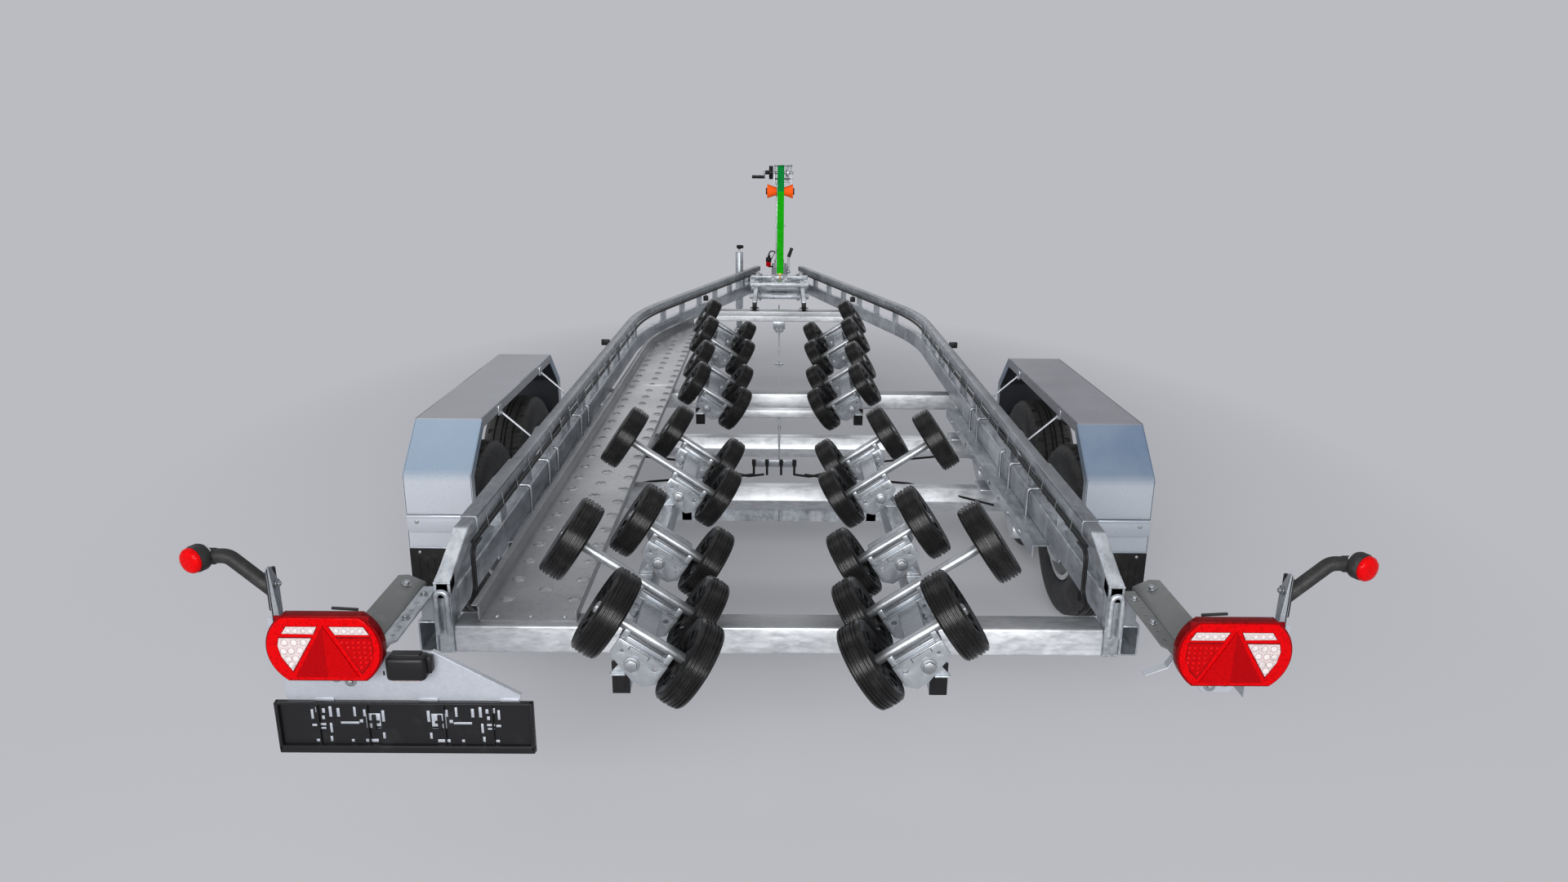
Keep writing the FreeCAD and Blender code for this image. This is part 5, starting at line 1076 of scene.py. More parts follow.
def makeCarriers():
    left, right = carrier["x"] - carrier["wide"] / 2, carrier["x"] + carrier["wide"] / 2
    top, low = beam["top"] + carrier["tall"], beam["top"]
    tube = block((left, carrier["rear"], low), (right, carrier["front"], top), carrier["corner"], 3)
    parts = [tube]
    axleTop = axle["z"] + axle["flats"] / 2
    parts.append(block((left - 5, channel["axles"][0] - 45, axleTop), (right + 5, channel["axles"][0] + 45, low),
                       2))
    parts.append(block((left, -3019, top - 2), (right, -2899, top + 14), 1.5))
    arm = block((left, carrier["armRear"], -carrier["rise"] - 40), (right, carrier["armFront"],
                                                                   -carrier["rise"] + 40), carrier["corner"], 3)
    parts.append(placed(arm, armFrame))
    post = block((left, beam["middle"], low - 2), (right, beam["middle"] + beam["deep"], 612), 4, 2)
    slope = math.tan(math.radians(carrier["slope"]))
    under = carrier["armZ"] - 111 / math.cos(math.radians(carrier["slope"]))
    parts.append(sliced(post, ((0, carrier["armY"], under + 3), (0, -slope, 1))))
    y, tieLow, tieTop, deep = carrier["tie"]
    parts.append(block((left, y, tieLow), (right, y + deep, low + 2), 2))
    parts.append(block((-1, y, tieLow), (carrier["tieHalf"], y + deep, tieTop), 0))
    # Plates that clamp the carriers on the beams
    for y in (rail["rear"] + 10, rail["rear"] + 58):
        parts.append(uBolt(left - 8, right + 8, y, low - 96, top + 9, 5.5))
    parts.append(block((left - 22, rail["rear"] - 0, low - 82), (right + 22, rail["rear"] + 70, low - 75), 1.5))
    bolts = [bolt((x, y, low - 82), (0, 0, -1), 9, 8, 12) for x in (left - 8, right + 8)
             for y in (rail["rear"] + 10, rail["rear"] + 58)]
    for name, along, lift, reach, spans, sloping in rockerPlan:
        ears, pins = makeEars(reach)
        spot = pivotFrame(along, lift, sloping)
        parts += [placed(ear, spot) for ear in ears]
        bolts += [placed(pin, spot) for pin in pins]
    return painted(zincTube, *parts) + painted(zincBolt, *bolts)


dressed("roller_carrier_tubes", both(makeCarriers()), "trailer", "galvanised_steel", "roller_carriers")


# End caps: a rim on the tube's end and a ribbed middle
def makeCap(x0, x1, y, z0, z1):
    cap = block((x0, y - 4, z0), (x1, y, z1), 1.6)
    plug = block((x0 + 6, y - 1, z0 + 6), (x1 - 6, y + 14, z1 - 6), 2)
    middle = block((x0 + 9, y - 5.4, z0 + 10), (x1 - 9, y - 3, z1 - 10), 1.2)
    return joined([cap, plug, middle])


left, right = carrier["x"] - carrier["wide"] / 2, carrier["x"] + carrier["wide"] / 2
caps = [makeCap(left, right, carrier["rear"], 547, 627),
        placed(makeCap(left, right, carrier["armRear"], -carrier["rise"] - 40, -carrier["rise"] + 40), armFrame),
        makeCap(158, 188, beam["front"], 582, 642)]
capPiece = dressed("tube_end_caps", both(painted(blackCap, *caps)), "trailer", "black_plastic", "end_caps")
print("roller carriers ready")

# Rockers: chamfered plates with folded flanges, axle rods in saddles, nuts; the most visible steelwork


def makeRocker(reach, spans):
    walls = wallSpots(reach)
    inner, outer, top, thick = rocker["inner"], rocker["outer"], rocker["top"], rocker["sheet"]
    plates, bolts = [], []
    for y in walls:
        plate = block((-inner, y, -rocker["bottom"]), (outer, y + thick, top), 0)
        sliced(plate, ((54, 0, 0), (8, 0, -8)), ((46, 0, -8), (26, 0, -68)), ((-48, 0, -34), (-20, 0, -20)))
        hole = [bar((0, y - 2, 0), (0, y + thick + 2, 0), 10.2, 24), bar((-48, y - 2, 18), (-48, y + thick + 2, 18), 6, 16),
                bar((34, y - 2, 16), (34, y + thick + 2, 16), 4, 12)]
        carved(plate, hole)
        plates.append(rounded(plate, 0.9, 2, 50))
        flange = block((-inner, y, top - thick), (outer, y + thick + rocker["flange"], top), 2.2, 3)
        plates.append(flange)
        boss = lathed([(0, 10.2), (0, 15), (2, 14.4), (2, 10.2)], 28, True)
        placed(boss, aimed((0, 1, 0), (0, y + thick, 0)))
        plates.append(boss)
    # The spine that joins the two plates
    plates.append(folded([(-26, walls[0], top - 14), (-26, walls[0], top - 0.2), (26, walls[0], top - 0.2),
                          (26, walls[0], top - 14)], (0, walls[1] - walls[0] + thick, 0), 4, -1, 1.2))
    lofts = (0,) if reach is None else (-reach / 2, reach / 2)
    for along, span in zip(lofts, spans):
        axleZ = rocker["axle"]
        start, end = -rocker["half"] - 15.5, span + 15.5
        bolts.append(bar((start - 12, along, axleZ), (end + 12, along, axleZ), 9.9, 24))
        bolts.append(bar((start + 31, along, axleZ), (end - 31, along, axleZ), 12, 28, 1))
        for x, way in ((start, -1), (end, 1)):
            bolts.append(bar((x, along, axleZ), (x + way * 2.6, along, axleZ), 19, 28, 0.7))
            bolts.append(bar((x + way * 2.6, along, axleZ), (x + way * 10, along, axleZ), 15.5, 6, 1.2))
            bolts.append(bar((x + way * 10, along, axleZ), (x + way * 12, along, axleZ), 8, 20, 1))
        # Channel under the axle, and the saddles at its ends
        for u in (-inner, outer - 14):
            saddle = block((u, along - 14, top - 0.3), (u + 14, along + 14, axleZ - 3), 2)
            plates.append(saddle)
        plates.append(block((-inner + 4, along - 9, top - 0.3), (outer - 4, along + 9, top + 9), 1.5))
    return painted(zincPlate, *plates) + painted(zincBolt, *bolts)


roller = {"radius": 100, "hub": 26, "hubWide": 30, "ribs": 6, "grooveDeep": 3.6}


# Rubber roller about the Z axis: crowned tread with fine ribs, spoked side pockets, hub
def makeRoller():
    hub = roller["hubWide"] / 2
    side = [(hub, 10.05), (hub, 25), (hub - 0.6, 26), (12, 27.5), (12.5, 40), (19.5, 46), (24, 70), (27.2, 82),
            (29.2, 88.5), (28.2, 92.5), (25.4, 95.6)]
    tread = []
    count, low = roller["ribs"], roller["grooveDeep"]
    span = 23.5 / (count / 2)
    for index in range(count // 2 + 1):
        z = 23.5 - index * span
        crown = roller["radius"] - (z / 23.5) ** 2 * 2.2
        if z - span * 0.42 > 0:
            tread += [(z, crown - 0.9), (z - span * 0.1, crown), (z - span * 0.44, crown), (z - span * 0.54, crown - 0.9),
                      (z - span * 0.6, crown - low), (z - span * 0.94, crown - low)]
        else:
            tread += [(z, crown)]
    right = side + [(z, r) for z, r in tread if z > 0.4]
    outline = right + [(-z, r) for z, r in reversed(right)]
    item = lathed(outline, 48, True)
    only(item)
    bpy.context.tool_settings.mesh_select_mode = (False, False, True)
    for face in item.data.polygons:
        spot = face.center / mm
        angle = math.degrees(math.atan2(spot.y, spot.x)) % 30
        face.select = 46 < math.hypot(spot.x, spot.y) < 70 and angle < 22.5
    for edge in item.data.edges:
        edge.select = False
    bpy.ops.object.mode_set(mode="EDIT")
    bpy.ops.mesh.inset(thickness=0.0015, depth=0)
    bpy.ops.mesh.extrude_region_shrink_fatten(TRANSFORM_OT_shrink_fatten={"value": -0.007})
    bpy.ops.object.mode_set(mode="OBJECT")
    return item


rollerMaster = makeRoller()
for name, along, lift, reach, spans, sloping in rockerPlan:
    lean = pivotFrame(along, lift, sloping) @ Matrix.Rotation(math.radians(-rocker["tilt"]), 4, "Y")
    frameParts = joined(makeRocker(reach, spans))
    for hand, flip in (("right", Matrix.Identity(4)), ("left", mirrorX)):
        node = f"rocker_{name}_{hand}"
        dressed(f"rocker_plates_{name}_{hand}", [copied(frameParts, flip @ lean)], node, "galvanised_steel", node)
    bpy.data.objects.remove(frameParts)
    lofts = (0,) if reach is None else (-reach / 2, reach / 2)
    for index, (loft, span) in enumerate(zip(lofts, spans), start=1):
        pair = [copied(rollerMaster, aimed((1, 0, 0), (x, loft, rocker["axle"]))) for x in (-rocker["half"], span)]
        pair = joined(painted(rubberRoller, *pair))
        for hand, flip in (("right", Matrix.Identity(4)), ("left", mirrorX)):
            node = f"rollers_{name}{index}_{hand}"
            dressed(f"rubber_{node}", [copied(pair, flip @ lean)], node, "roller_rubber", node, angle=28)
        bpy.data.objects.remove(pair)
bpy.data.objects.remove(rollerMaster)
print("rockers and rollers ready")

# Lamp boards: dark channels, perforated strips, back plates and brackets

board = {"x": 903, "outer": 963, "low": 640, "rise": 27, "leg": 40, "front": -3078, "rear": -3600, "sheet": 3,
         "strip": (866, -3420, 634), "lampX": 909, "lampZ": 751, "back": (841, 1037, 45)}


# Convex plate with its outline in X and Z, from y0 to y1
def slab(points, y0, y1, edge=0):
    low = (min(x for x, z in points), y0, min(z for x, z in points))
    high = (max(x for x, z in points), y1, max(z for x, z in points))
    item = block(low, high, 0)
    pairs = list(zip(points, points[1:] + points[:1]))
    turn = 1 if sum(x0 * z1 - x1 * z0 for (x0, z0), (x1, z1) in pairs) > 0 else -1
    for (x0, z0), (x1, z1) in pairs:
        if x0 != x1 and z0 != z1:
            sliced(item, ((x0, 0, z0), ((z1 - z0) * turn, 0, (x0 - x1) * turn)))
    return rounded(item, edge, 1, 30) if edge else item


def makeBoardArm(stripFinish):
    long = board["front"] - board["rear"]
    x0, x1, low, leg = board["x"] + 1.5, board["outer"] - 1.5, board["low"], board["leg"]
    channel = folded([(x0, board["rear"], low - leg), (x0, board["rear"], low + 1), (x1, board["rear"], low + 28),
                      (x1, board["rear"], low + 28 - leg)], (0, long, 0), board["sheet"], 0, 1.2)
    # The front end is cut back at the corner, as on the photographed arm
    sliced(channel, ((x1 - 18, board["front"], 0), (1, 0.8, 0)), ((0, board["rear"] + 70, low - 10), (0, -1, -1.6)))
    edge = block((board["outer"] - 1.6, board["rear"] + 2, low - 12), (board["outer"] + 0.2, board["front"] - 26,
                                                                  low + 27), 0.5)
    stripX, stripRear, stripLow = board["strip"]
    strip = block((stripX, stripRear, stripLow), (board["x"], board["front"] - 24, stripLow + 6), 0)
    sliced(strip, ((board["x"] - 14, stripRear, 0), (-1, -0.75, 0)))
    spots = [(884, stripRear + 52 + 43 * step) for step in range(6)]
    carved(strip, [bar((x, y, stripLow - 3), (x, y, stripLow + 9), 4.6, 16) for x, y in spots if y not in (
        spots[2][1], spots[5][1])])
    rounded(strip, 0.8, 1, 50)
    post = block((865, -3131, 558), (903, -3125, 637), 1.5)
    bolts = [bolt((spots[index][0], spots[index][1], stripLow + 6), (0, 0, 1), 8, 6, 11) for index in (2, 5)]
    slope = Vector((-27, 0, 60)).normalized()
    bolts.append(bolt((934, board["front"] - 52, low + 18.6), slope, 8.5, 7, 12))
    return (painted(steelGrey, channel) + painted(stripFinish, strip) + painted(zincPlate, edge, post)
            + painted(zincBolt, *bolts))


def makeBackPlate(holder):
    left, right, half = board["back"]
    y0, y1, z = board["rear"], board["rear"] + board["sheet"], board["lampZ"]
    parts = [slab([(left, z - half), (right, z - half), (right, z + half), (left, z + half)], y0, y1, 0.8)]
    low = z - 71.5
    bolts = []
    if holder:
        parts.append(slab([(537, 552), (1020, 552), (1020, 722), (712, 722), (537, 622)], y0, y1, 0.8))
        parts.append(folded([(537, y0 + 1, 623), (712, y0 + 1, 723)], (0, 12, 0), 2, -1, 0.4))
        parts.append(folded([(1020, y0 + 1.5, 626), (1020, y0 + 1.5, 553), ], (0, 14, 0), 2, -1, 0.4))
        for x, drop in ((913, 15), (884, 25)):
            bolts.append(bolt((x, y0, low - drop), (0, -1, 0), 6, 5, 12))
        slot = painted(blackCap, block((812, y0 - 0.6, 668), (816, y0 + 1, 678), 0.8))
    else:
        parts.append(slab([(874, 640), (930, 640), (966, 690), (836, 690)], y0, y1, 0.8))
        for x, drop in ((888, 24), (919, 13)):
            bolts.append(bolt((x, y0, low - drop), (0, -1, 0), 6, 5, 12))
        slot = []
        # Bent latch tab under the lamp
        parts.append(folded([(812, y0, 716), (798, y0, 694), (752, y0, 676)], (0, 22, 0), 2.5, -1, 0.6))
        parts.append(block((808, y0, 708), (850, y0 + 3, 724), 0.8))
    return painted(zincPale, *parts) + painted(zincBolt, *bolts) + slot


leftBoard = makeBoardArm(zincTube) + makeBackPlate(True)
boardPieces = makeBoardArm(steelGrey) + makeBackPlate(False) + [placed(part, mirrorX) for part in leftBoard]
dressed("lamp_board_steel", boardPieces, "trailer", "grey_steel", "light_arms")

# Rear lamps: rim, red lens, clear windows with round light domes, triangular reflector

lamp = {"half": 71.5, "flat": 28.5, "round": 87, "rear": -3650, "front": -3620, "lens": -3647.4}


def lampShell(inset, y0, y1, edge):
    x, z, radius = board["lampX"], board["lampZ"], lamp["round"] - inset
    shell = hulled([bar((x - lamp["flat"], y0, z), (x - lamp["flat"], y1, z), radius, 72),
                    bar((x + lamp["flat"], y0, z), (x + lamp["flat"], y1, z), radius, 72)])
    sliced(shell, ((x, y0, z + lamp["half"] - inset), (0, 0, 1)), ((x, y0, z - lamp["half"] + inset), (0, 0, -1)))
    return rounded(shell, edge, 3, 40)


# Window of (x, z) corners from the lamp's middle, domes at the given spots
def lampWindow(corners, glass, frameTone, domes, radius, rise=1.2):
    x, z, y = board["lampX"], board["lampZ"], lamp["lens"]
    points = [(x + u, z + w) for u, w in corners]
    middle = (sum(u for u, w in points) / len(points), sum(w for u, w in points) / len(points))
    rim = [(middle[0] + (u - middle[0]) * 1.06, middle[1] + (w - middle[1]) * 1.1) for u, w in points]
    parts = painted(frameTone, slab(rim, y - 0.5, y + 1)) + painted(glass, slab(points, y - rise, y + 1, 0.4))
    edge, dome = (clearEdge, domeGlass) if glass is clearLens else (darkRed, redBright)
    for u, w in domes:
        spot = aimed((0, -1, 0), (x + u, y - rise + 0.2, z + w))
        parts += painted(edge, placed(lathed([(0, radius), (0.35, radius), (0.4, radius * 0.9), (0.4, 0.3)], 18), spot))
        cap = lathed([(0.3, radius * 0.86), (0.8, radius * 0.76), (1.25, radius * 0.45), (1.35, radius * 0.06)], 18)
        parts += painted(dome, placed(cap, spot))
    return parts


def makeLamp():
    parts = painted(darkRed, lampShell(0, lamp["rear"] + 7, lamp["front"], 2.5))
    parts += painted(redLens, lampShell(3.5, lamp["lens"], lamp["rear"] + 12, 3.5))
    high = 41
    parts += lampWindow([(-94, 33), (-27, 33), (-17, 50), (-84, 50)], clearLens, darkRed,
                        [(-78, high), (-62, high), (-46, high), (-31, high + 1)], 5.6)
    parts += lampWindow([(16, 34), (78, 35), (68, 50), (8, 50)], clearLens, darkRed,
                        [(20, high), (35, high), (50, high), (64, high + 1)], 5.6)
    parts += lampWindow([(21, 25), (85, 25), (89, 8), (84, -16), (65, -47)], clearLens, darkRed,
                        [(37, 16), (56, 15), (75, 15), (46, -2), (63, -3), (78, -4), (56, -20), (71, -20),
                         (65, -34)], 7.4)
    grid = [(u, w) for w in (16, 5, -6, -17, -28, -39) for u in range(-94, -34, 11)
            if u < -38 - (16 - w) * 0.55 and u > -97 + max(0, -w - 14) * 0.6]
    parts += lampWindow([(-96, 25), (-30, 25), (-72, -50), (-88, -32), (-98, -4)], redPanel, darkRed, grid, 4.2)
    x, z, y = board["lampX"], board["lampZ"], lamp["lens"]
    apex, left, right = (x - 4, z + 52), (x - 66, z - 60), (x + 60, z - 60)
    foot = (x - 4, z - 60)
    # Triangular reflector in two halves: the left painted lighter and the right darker, as painted light and shade on
    # its facets
    parts += painted(redPanel, slab([apex, left, foot], y - 2.4, y + 1))
    parts += painted(redReflectorShaded, slab([apex, foot, right], y - 2.4, y + 1))
    parts += painted(darkRed, block((x - 96, y + 4, z + 60), (x + 92, y + 9, z + 70.6), 1))
    # Cable entries behind the lamp
    parts += painted(blackCap, block((x - 60, lamp["front"] - 2, z - 50), (x + 60, -3600, z + 50), 4))
    parts += painted(blackLoom, swept((x - 60, -3606, z + 68), [(52, 0, 3)], 3.2, sides=10))
    return parts


# Side marker on its rubber arm, behind a folded bracket
def makeMarker():
    y = -3574
    arm = swept((1030, y, 846), [(72, 0, 66), ((1121.9, y, 890.2), (0, 1, 0), 42.5, 6), (24, 0, 0)], 15, sides=24)
    foot = block((1027, y - 18, 806), (1036, y + 18, 892), 4)
    turn = shifted(1164, -3590, 921) @ Matrix.Rotation(math.radians(21), 4, "Z")
    shell = [placed(bar((0, 14, 0), (0, -12, 0), 28, 40, 6), turn), placed(bar((0, 16, 0), (0, 10, 0), 22, 32, 2), turn)]
    shell.append(bar((1134, y, 919), (1158, y, 919), 17, 24, 3))
    red = lathed([(0, 26.5), (5, 26), (9, 23), (11.5, 17), (12.4, 8), (12.5, 0.5)], 40)
    red = [placed(red, turn @ aimed((0, -1, 0), (0, -12, 0)))]
    for ring, count in ((0, 1), (10, 6), (19, 11)):
        for step in range(count):
            angle = math.radians(360 / count * step)
            dome = lathed([(0, 4.4), (1, 3.9), (1.8, 2.4), (2.1, 0.3)], 14)
            height = 24.2 - ring * ring * 0.013
            red.append(placed(dome, turn @ aimed((0, -1, 0), (ring * math.cos(angle), -height, ring * math.sin(angle)))))
    glass = lathed([(0, 24), (4, 23), (7, 19), (8.5, 10), (8.8, 0.5)], 36)
    glass = placed(glass, turn @ aimed((0, 1, 0), (0, 14, 0)))
    plate = slab([(1022, 700), (1027, 700), (1027, 904), (1022, 904)], -3600, -3562, 1)
    sliced(plate, ((1027, -3600, 752), (0, 1, -1.1)), ((1027, -3588, 904), (0, 1, 0.6)))
    lip = slab([(1002, 700), (1026, 700), (1026, 903), (1021, 903)], -3600, -3597, 0.8)
    bolts = [bolt((1021, -3574, 860), (-1, 0, 0), 6, 5, 10)]
    return (painted(rubberArm, arm, foot, *shell) + painted(redBright, *red) + painted(clearLamp, glass)
            + painted(zincPlate, plate, lip) + painted(zincBolt, *bolts))


dressed("rear_lamps", both(makeLamp() + makeMarker()), "trailer", "lamp_red", "lamps")

# Plate holder: black tray with a rim, ribs, slots and clips, plus the plate lamp above it

tray = {"x0": 511, "x1": 1043, "z0": 493, "z1": 611, "back": -3600, "front": -3614}


def makeTray():
    x0, x1, z0, z1, back, front = (tray[word] for word in ("x0", "x1", "z0", "z1", "back", "front"))
    rear = block((x0, back - 4, z0), (x1, back, z1), 0)
    slots = []
    for side, x in ((-1, 777 - 145), (1, 777 + 145)):
        for index, (u, w, wide, tall) in enumerate((
                (-98, 20, 6, 26), (-84, -6, 16, 5), (-60, 27, 5, 16), (-52, 8, 7, 7), (-40, 30, 5, 22), (-28, 4, 38, 5),
                (-6, 28, 6, 20), (10, 30, 6, 24), (24, 32, 6, 10), (26, 16, 6, 8), (38, 34, 5, 12), (30, 0, 16, 5),
                (30, -9, 14, 4), (12, -8, 5, 22), (48, 24, 5, 22), (46, -2, 10, 5), (-96, -26, 5, 14),
                (-70, -38, 26, 7), (14, -34, 5, 12), (42, -38, 8, 6), (-30, -38, 6, 6))):
            spot = x + side * u
            slots.append(block((spot - wide / 2, back - 4.4, 556 + w - tall / 2),
                               (spot + wide / 2, back - 2, 556 + w + tall / 2), 0.3))
        clipX = 777 + side * 68
        slots.append(block((clipX - 15, back - 4.4, 548), (clipX + 15, back - 2, 582), 0.3))
    parts = [rear, block((x0, front, z0), (x1, back - 1, z0 + 18), 3), block((x0, front, z1 - 5), (x1, back - 1, z1), 2),
             block((x0, front, z0 + 6), (x0 + 8, back - 1, z1), 2.5), block((x1 - 8, front, z0 + 6), (x1, back - 1, z1), 2.5)]
    for x in (597, 697, 777 - 1, 857 - 2, 957):
        if x != 776:
            parts.append(block((x - 1.6, front + 4, z0 + 16), (x + 1.6, back - 2, z1 - 4), 0.6))
    for side in (-1, 1):
        clipX = 777 + side * 68
        parts.append(block((clipX - 6, back - 9, 545), (clipX + 2, back - 2, 580), 1.2))
        parts.append(block((clipX - 13, back - 7, 560), (clipX + 8, back - 3, 566), 1))
    tabs = [block((x - 20, back - 2.6, z1 - 2), (x + 20, back - 0.4, z1 + 6), 0.6) for x in (942, 728, 560)]
    cap = block((716, -3638, 674), (796, -3600, 726), 9, 3)
    lampParts = [cap, block((708, -3622, 684), (719, -3602, 720), 3), block((728, -3626, 720), (790, -3604, 729), 3)]
    glass = block((726, -3632, 672), (786, -3608, 677), 2)
    return painted(blackCap, *parts, *lampParts) + painted(zincPale, *tabs, *slots) + painted(clearEdge, glass)


dressed("plate_holder_tray", [placed(part, mirrorX) for part in makeTray()], "trailer", "black_plastic", "plate_holder")
print("lamps and plate holder ready")

# Winch stand: bearers on clamp bars, post, winch frame, bow arms

stand = {"bearer": (158, 188), "low": 582, "high": 642, "rear": 1650, "front": 2830, "clamps": (2190, 2500),
         "half": 220, "boltX": 143, "post": (2315, 2375), "top": 1425, "lean": 3}
winch = {"y": 2325, "z": 1500, "left": -40, "right": 78, "sheet": 5, "crankY": 2404, "gear": 62, "lean": 13}


def makeStand():
    x0, x1 = stand["bearer"]
    low, high, rear, front = (stand[word] for word in ("low", "high", "rear", "front"))
    parts, bolts = [], []
    for side in (-1, 1):
        left, right = sorted((side * x0, side * x1))
        parts.append(block((left, rear, low), (right, front, high), 5, 3))
        # Foot clips that hold the bearer on the front beam
        parts.append(block((left - 14, rear + 6, low - 4), (right + 14, rear + 70, low + 2), 1.5))
        bolts += [bolt((x, rear + 38, low + 2), (0, 0, 1), 8, 7, 11) for x in (left - 8, right + 8)]
    half = stand["half"]
    for y in stand["clamps"]:
        for bottom in (high, low - 30):
            parts.append(block((-half, y - 20, bottom), (half, y + 20, bottom + 30), 4.5, 3))
        for x in (-stand["boltX"], stand["boltX"]):
            bolts.append(bar((x, y, low - 40), (x, y, high + 44), 7, 20))
            bolts.append(bolt((x, y, high + 30), (0, 0, 1), 11.5, 10, 15))
            bolts.append(bolt((x, y, low - 30), (0, 0, -1), 11.5, 10, 15))
    parts.append(block((-60, stand["clamps"][0] - 20, high + 30), (60, stand["clamps"][1] + 20, high + 38), 2))
    bolts += [bolt((x, y, high + 38), (0, 0, 1), 9, 7, 12) for x in (-48, 48) for y in stand["clamps"]]
    lean = shifted(0, stand["rear"], low + 8) @ Matrix.Rotation(math.radians(stand["lean"]), 4, "X")
    for item in parts + bolts:
        placed(item, lean @ shifted(0, -stand["rear"], -low))
    rear, front = stand["post"]
    column = block((-30, rear, 678), (30, front, stand["top"]), 6, 3)
    parts.append(column)
    # Weld bead around the foot and one gusset
    parts.append(block((-35, rear - 5, 712), (35, front + 5, 742), 3, 2))
    gusset = block((-3, front - 2, 716), (3, front + 90, 860), 0)
    parts.append(sliced(gusset, ((0, front + 88, 740), (0, 115, 80))))
    # Bow arm: two cheeks and a pin, with a stop plate at the post
    for x in (-23, 17):
        parts.append(block((x, 2255, 1350), (x + 6, rear + 2, 1390), 1.2))
    parts.append(block((-30, 2300, 1350), (30, rear + 1, 1356), 1))
    bolts.append(bar((-104, 2270, 1370), (104, 2270, 1370), 9.9, 24))
    # Winch bed and side plates with their holes
    left, right, y, z = winch["left"], winch["right"], winch["y"], winch["z"]
    parts.append(block((left, y - 60, 1425), (right, y + 110, 1430), 1))
    for x in (left - 5, right):
        side = block((x, y - 92, 1425), (x + 5, y + 110, 1562), 0)
        sliced(side, ((x, y + 110, z + 20), (0, 42, 64)), ((x, y - 92, z), (0, -62, 46)))
        carved(side, [bar((x - 2, a, b), (x + 7, a, b), r, 24) for a, b, r in (
            (y, z, 10.4), (winch["crankY"], z, 10.4), (y - 46, z - 34, 11), (y + 46, z - 34, 11), (y + 40, z + 38, 8),
            (y - 36, z + 36, 8))])
        parts.append(rounded(side, 0.8, 1, 50))
    for spot in ((y + 92, z - 46), (y + 46, z + 50)):
        bolts.append(bar((left - 1, spot[0], spot[1]), (right + 1, spot[0], spot[1]), 6, 16))
        bolts.append(bolt((right + 5, spot[0], spot[1]), (1, 0, 0), 7, 6, 10))
    # The diamond ring plate on the post; the brake cover beside the crank is not drawn here
    diamond = lathed([(0, 27), (0, 45), (6, 45), (6, 27)], 4, True)
    parts.append(rounded(placed(diamond, aimed((0, -1, 0), (0, rear + 0.5, 1120))), 1.2, 2))
    # Lug and ring for the strap's hook
    lug = block((1, 2286, 706), (9, rear + 1, 745), 1)
    parts.append(lug)
    return painted(zincTube, *parts) + painted(zincBolt, *bolts)


def makeHook():
    hook = [swept((5, 2296, 752), [(0, 0, -8), ((5, 2296 + 14, 744), (1, 0, 0), 200, 14), (0, -3, 9)], 4.6, sides=14)]
    ring = [(5 * math.sin(turn), 18 + 5 * math.cos(turn)) for turn in (math.radians(36 * index) for index in range(10))]
    hook.append(placed(lathed(ring, 32, True), aimed((1, 0, 0), (5, 2296, 737))))
    hook.append(bar((5, 2296, 748), (5, 2296, 766), 8, 20, 2))
    hook.append(block((-3, 2289, 716), (13, 2303, 726), 3))
    hook.append(block((-14, 2292, 756), (24, 2299, 763), 3, 3))
    return painted(goldHook, *hook)


dressed("winch_stand", makeStand() + makeHook(), "trailer", "galvanised_steel", "winch_post")


def makeDrum():
    y, z = winch["y"], winch["z"]
    steel = [bar((-53, y, z), (91, y, z), 9.9, 28)]
    for x in (-35, 42):
        flange = lathed([(0, 10), (0, 61), (1.2, 62), (2.4, 61.4), (2.6, 52), (3, 50), (3, 10)], 56, True)
        steel.append(placed(flange, aimed((1, 0, 0), (x, y, z))))
    gear = bar((52, y, z), (62, y, z), 59, 62)
    teeth = [block((52, 57, -1.8), (62, 62, 1.8), 0.7) for tooth in range(40)]
    teeth = [placed(tooth, shifted(0, y, z) @ Matrix.Rotation(math.radians(9 * index), 4, "X"))
             for index, tooth in enumerate(teeth)]
    steel += [gear, bar((42, y, z), (52.5, y, z), 24, 32, 1)] + teeth
    steel += [bolt((91, y, z), (1, 0, 0), 9, 3, 10)]
    # The wound coil takes the darker webbing as painted shade
    coil = [bar((-20 + 0.3 * index, y, z), (30 - 0.3 * index, y, z), 54 - 3.2 * index, 64, 1.2) for index in range(3)]
    return painted(zincPlate, *steel) + painted(greenWebShaded, *coil)


dressed("winch_drum_reel", makeDrum(), "winch_drum", "galvanised_steel", "winch_drum")


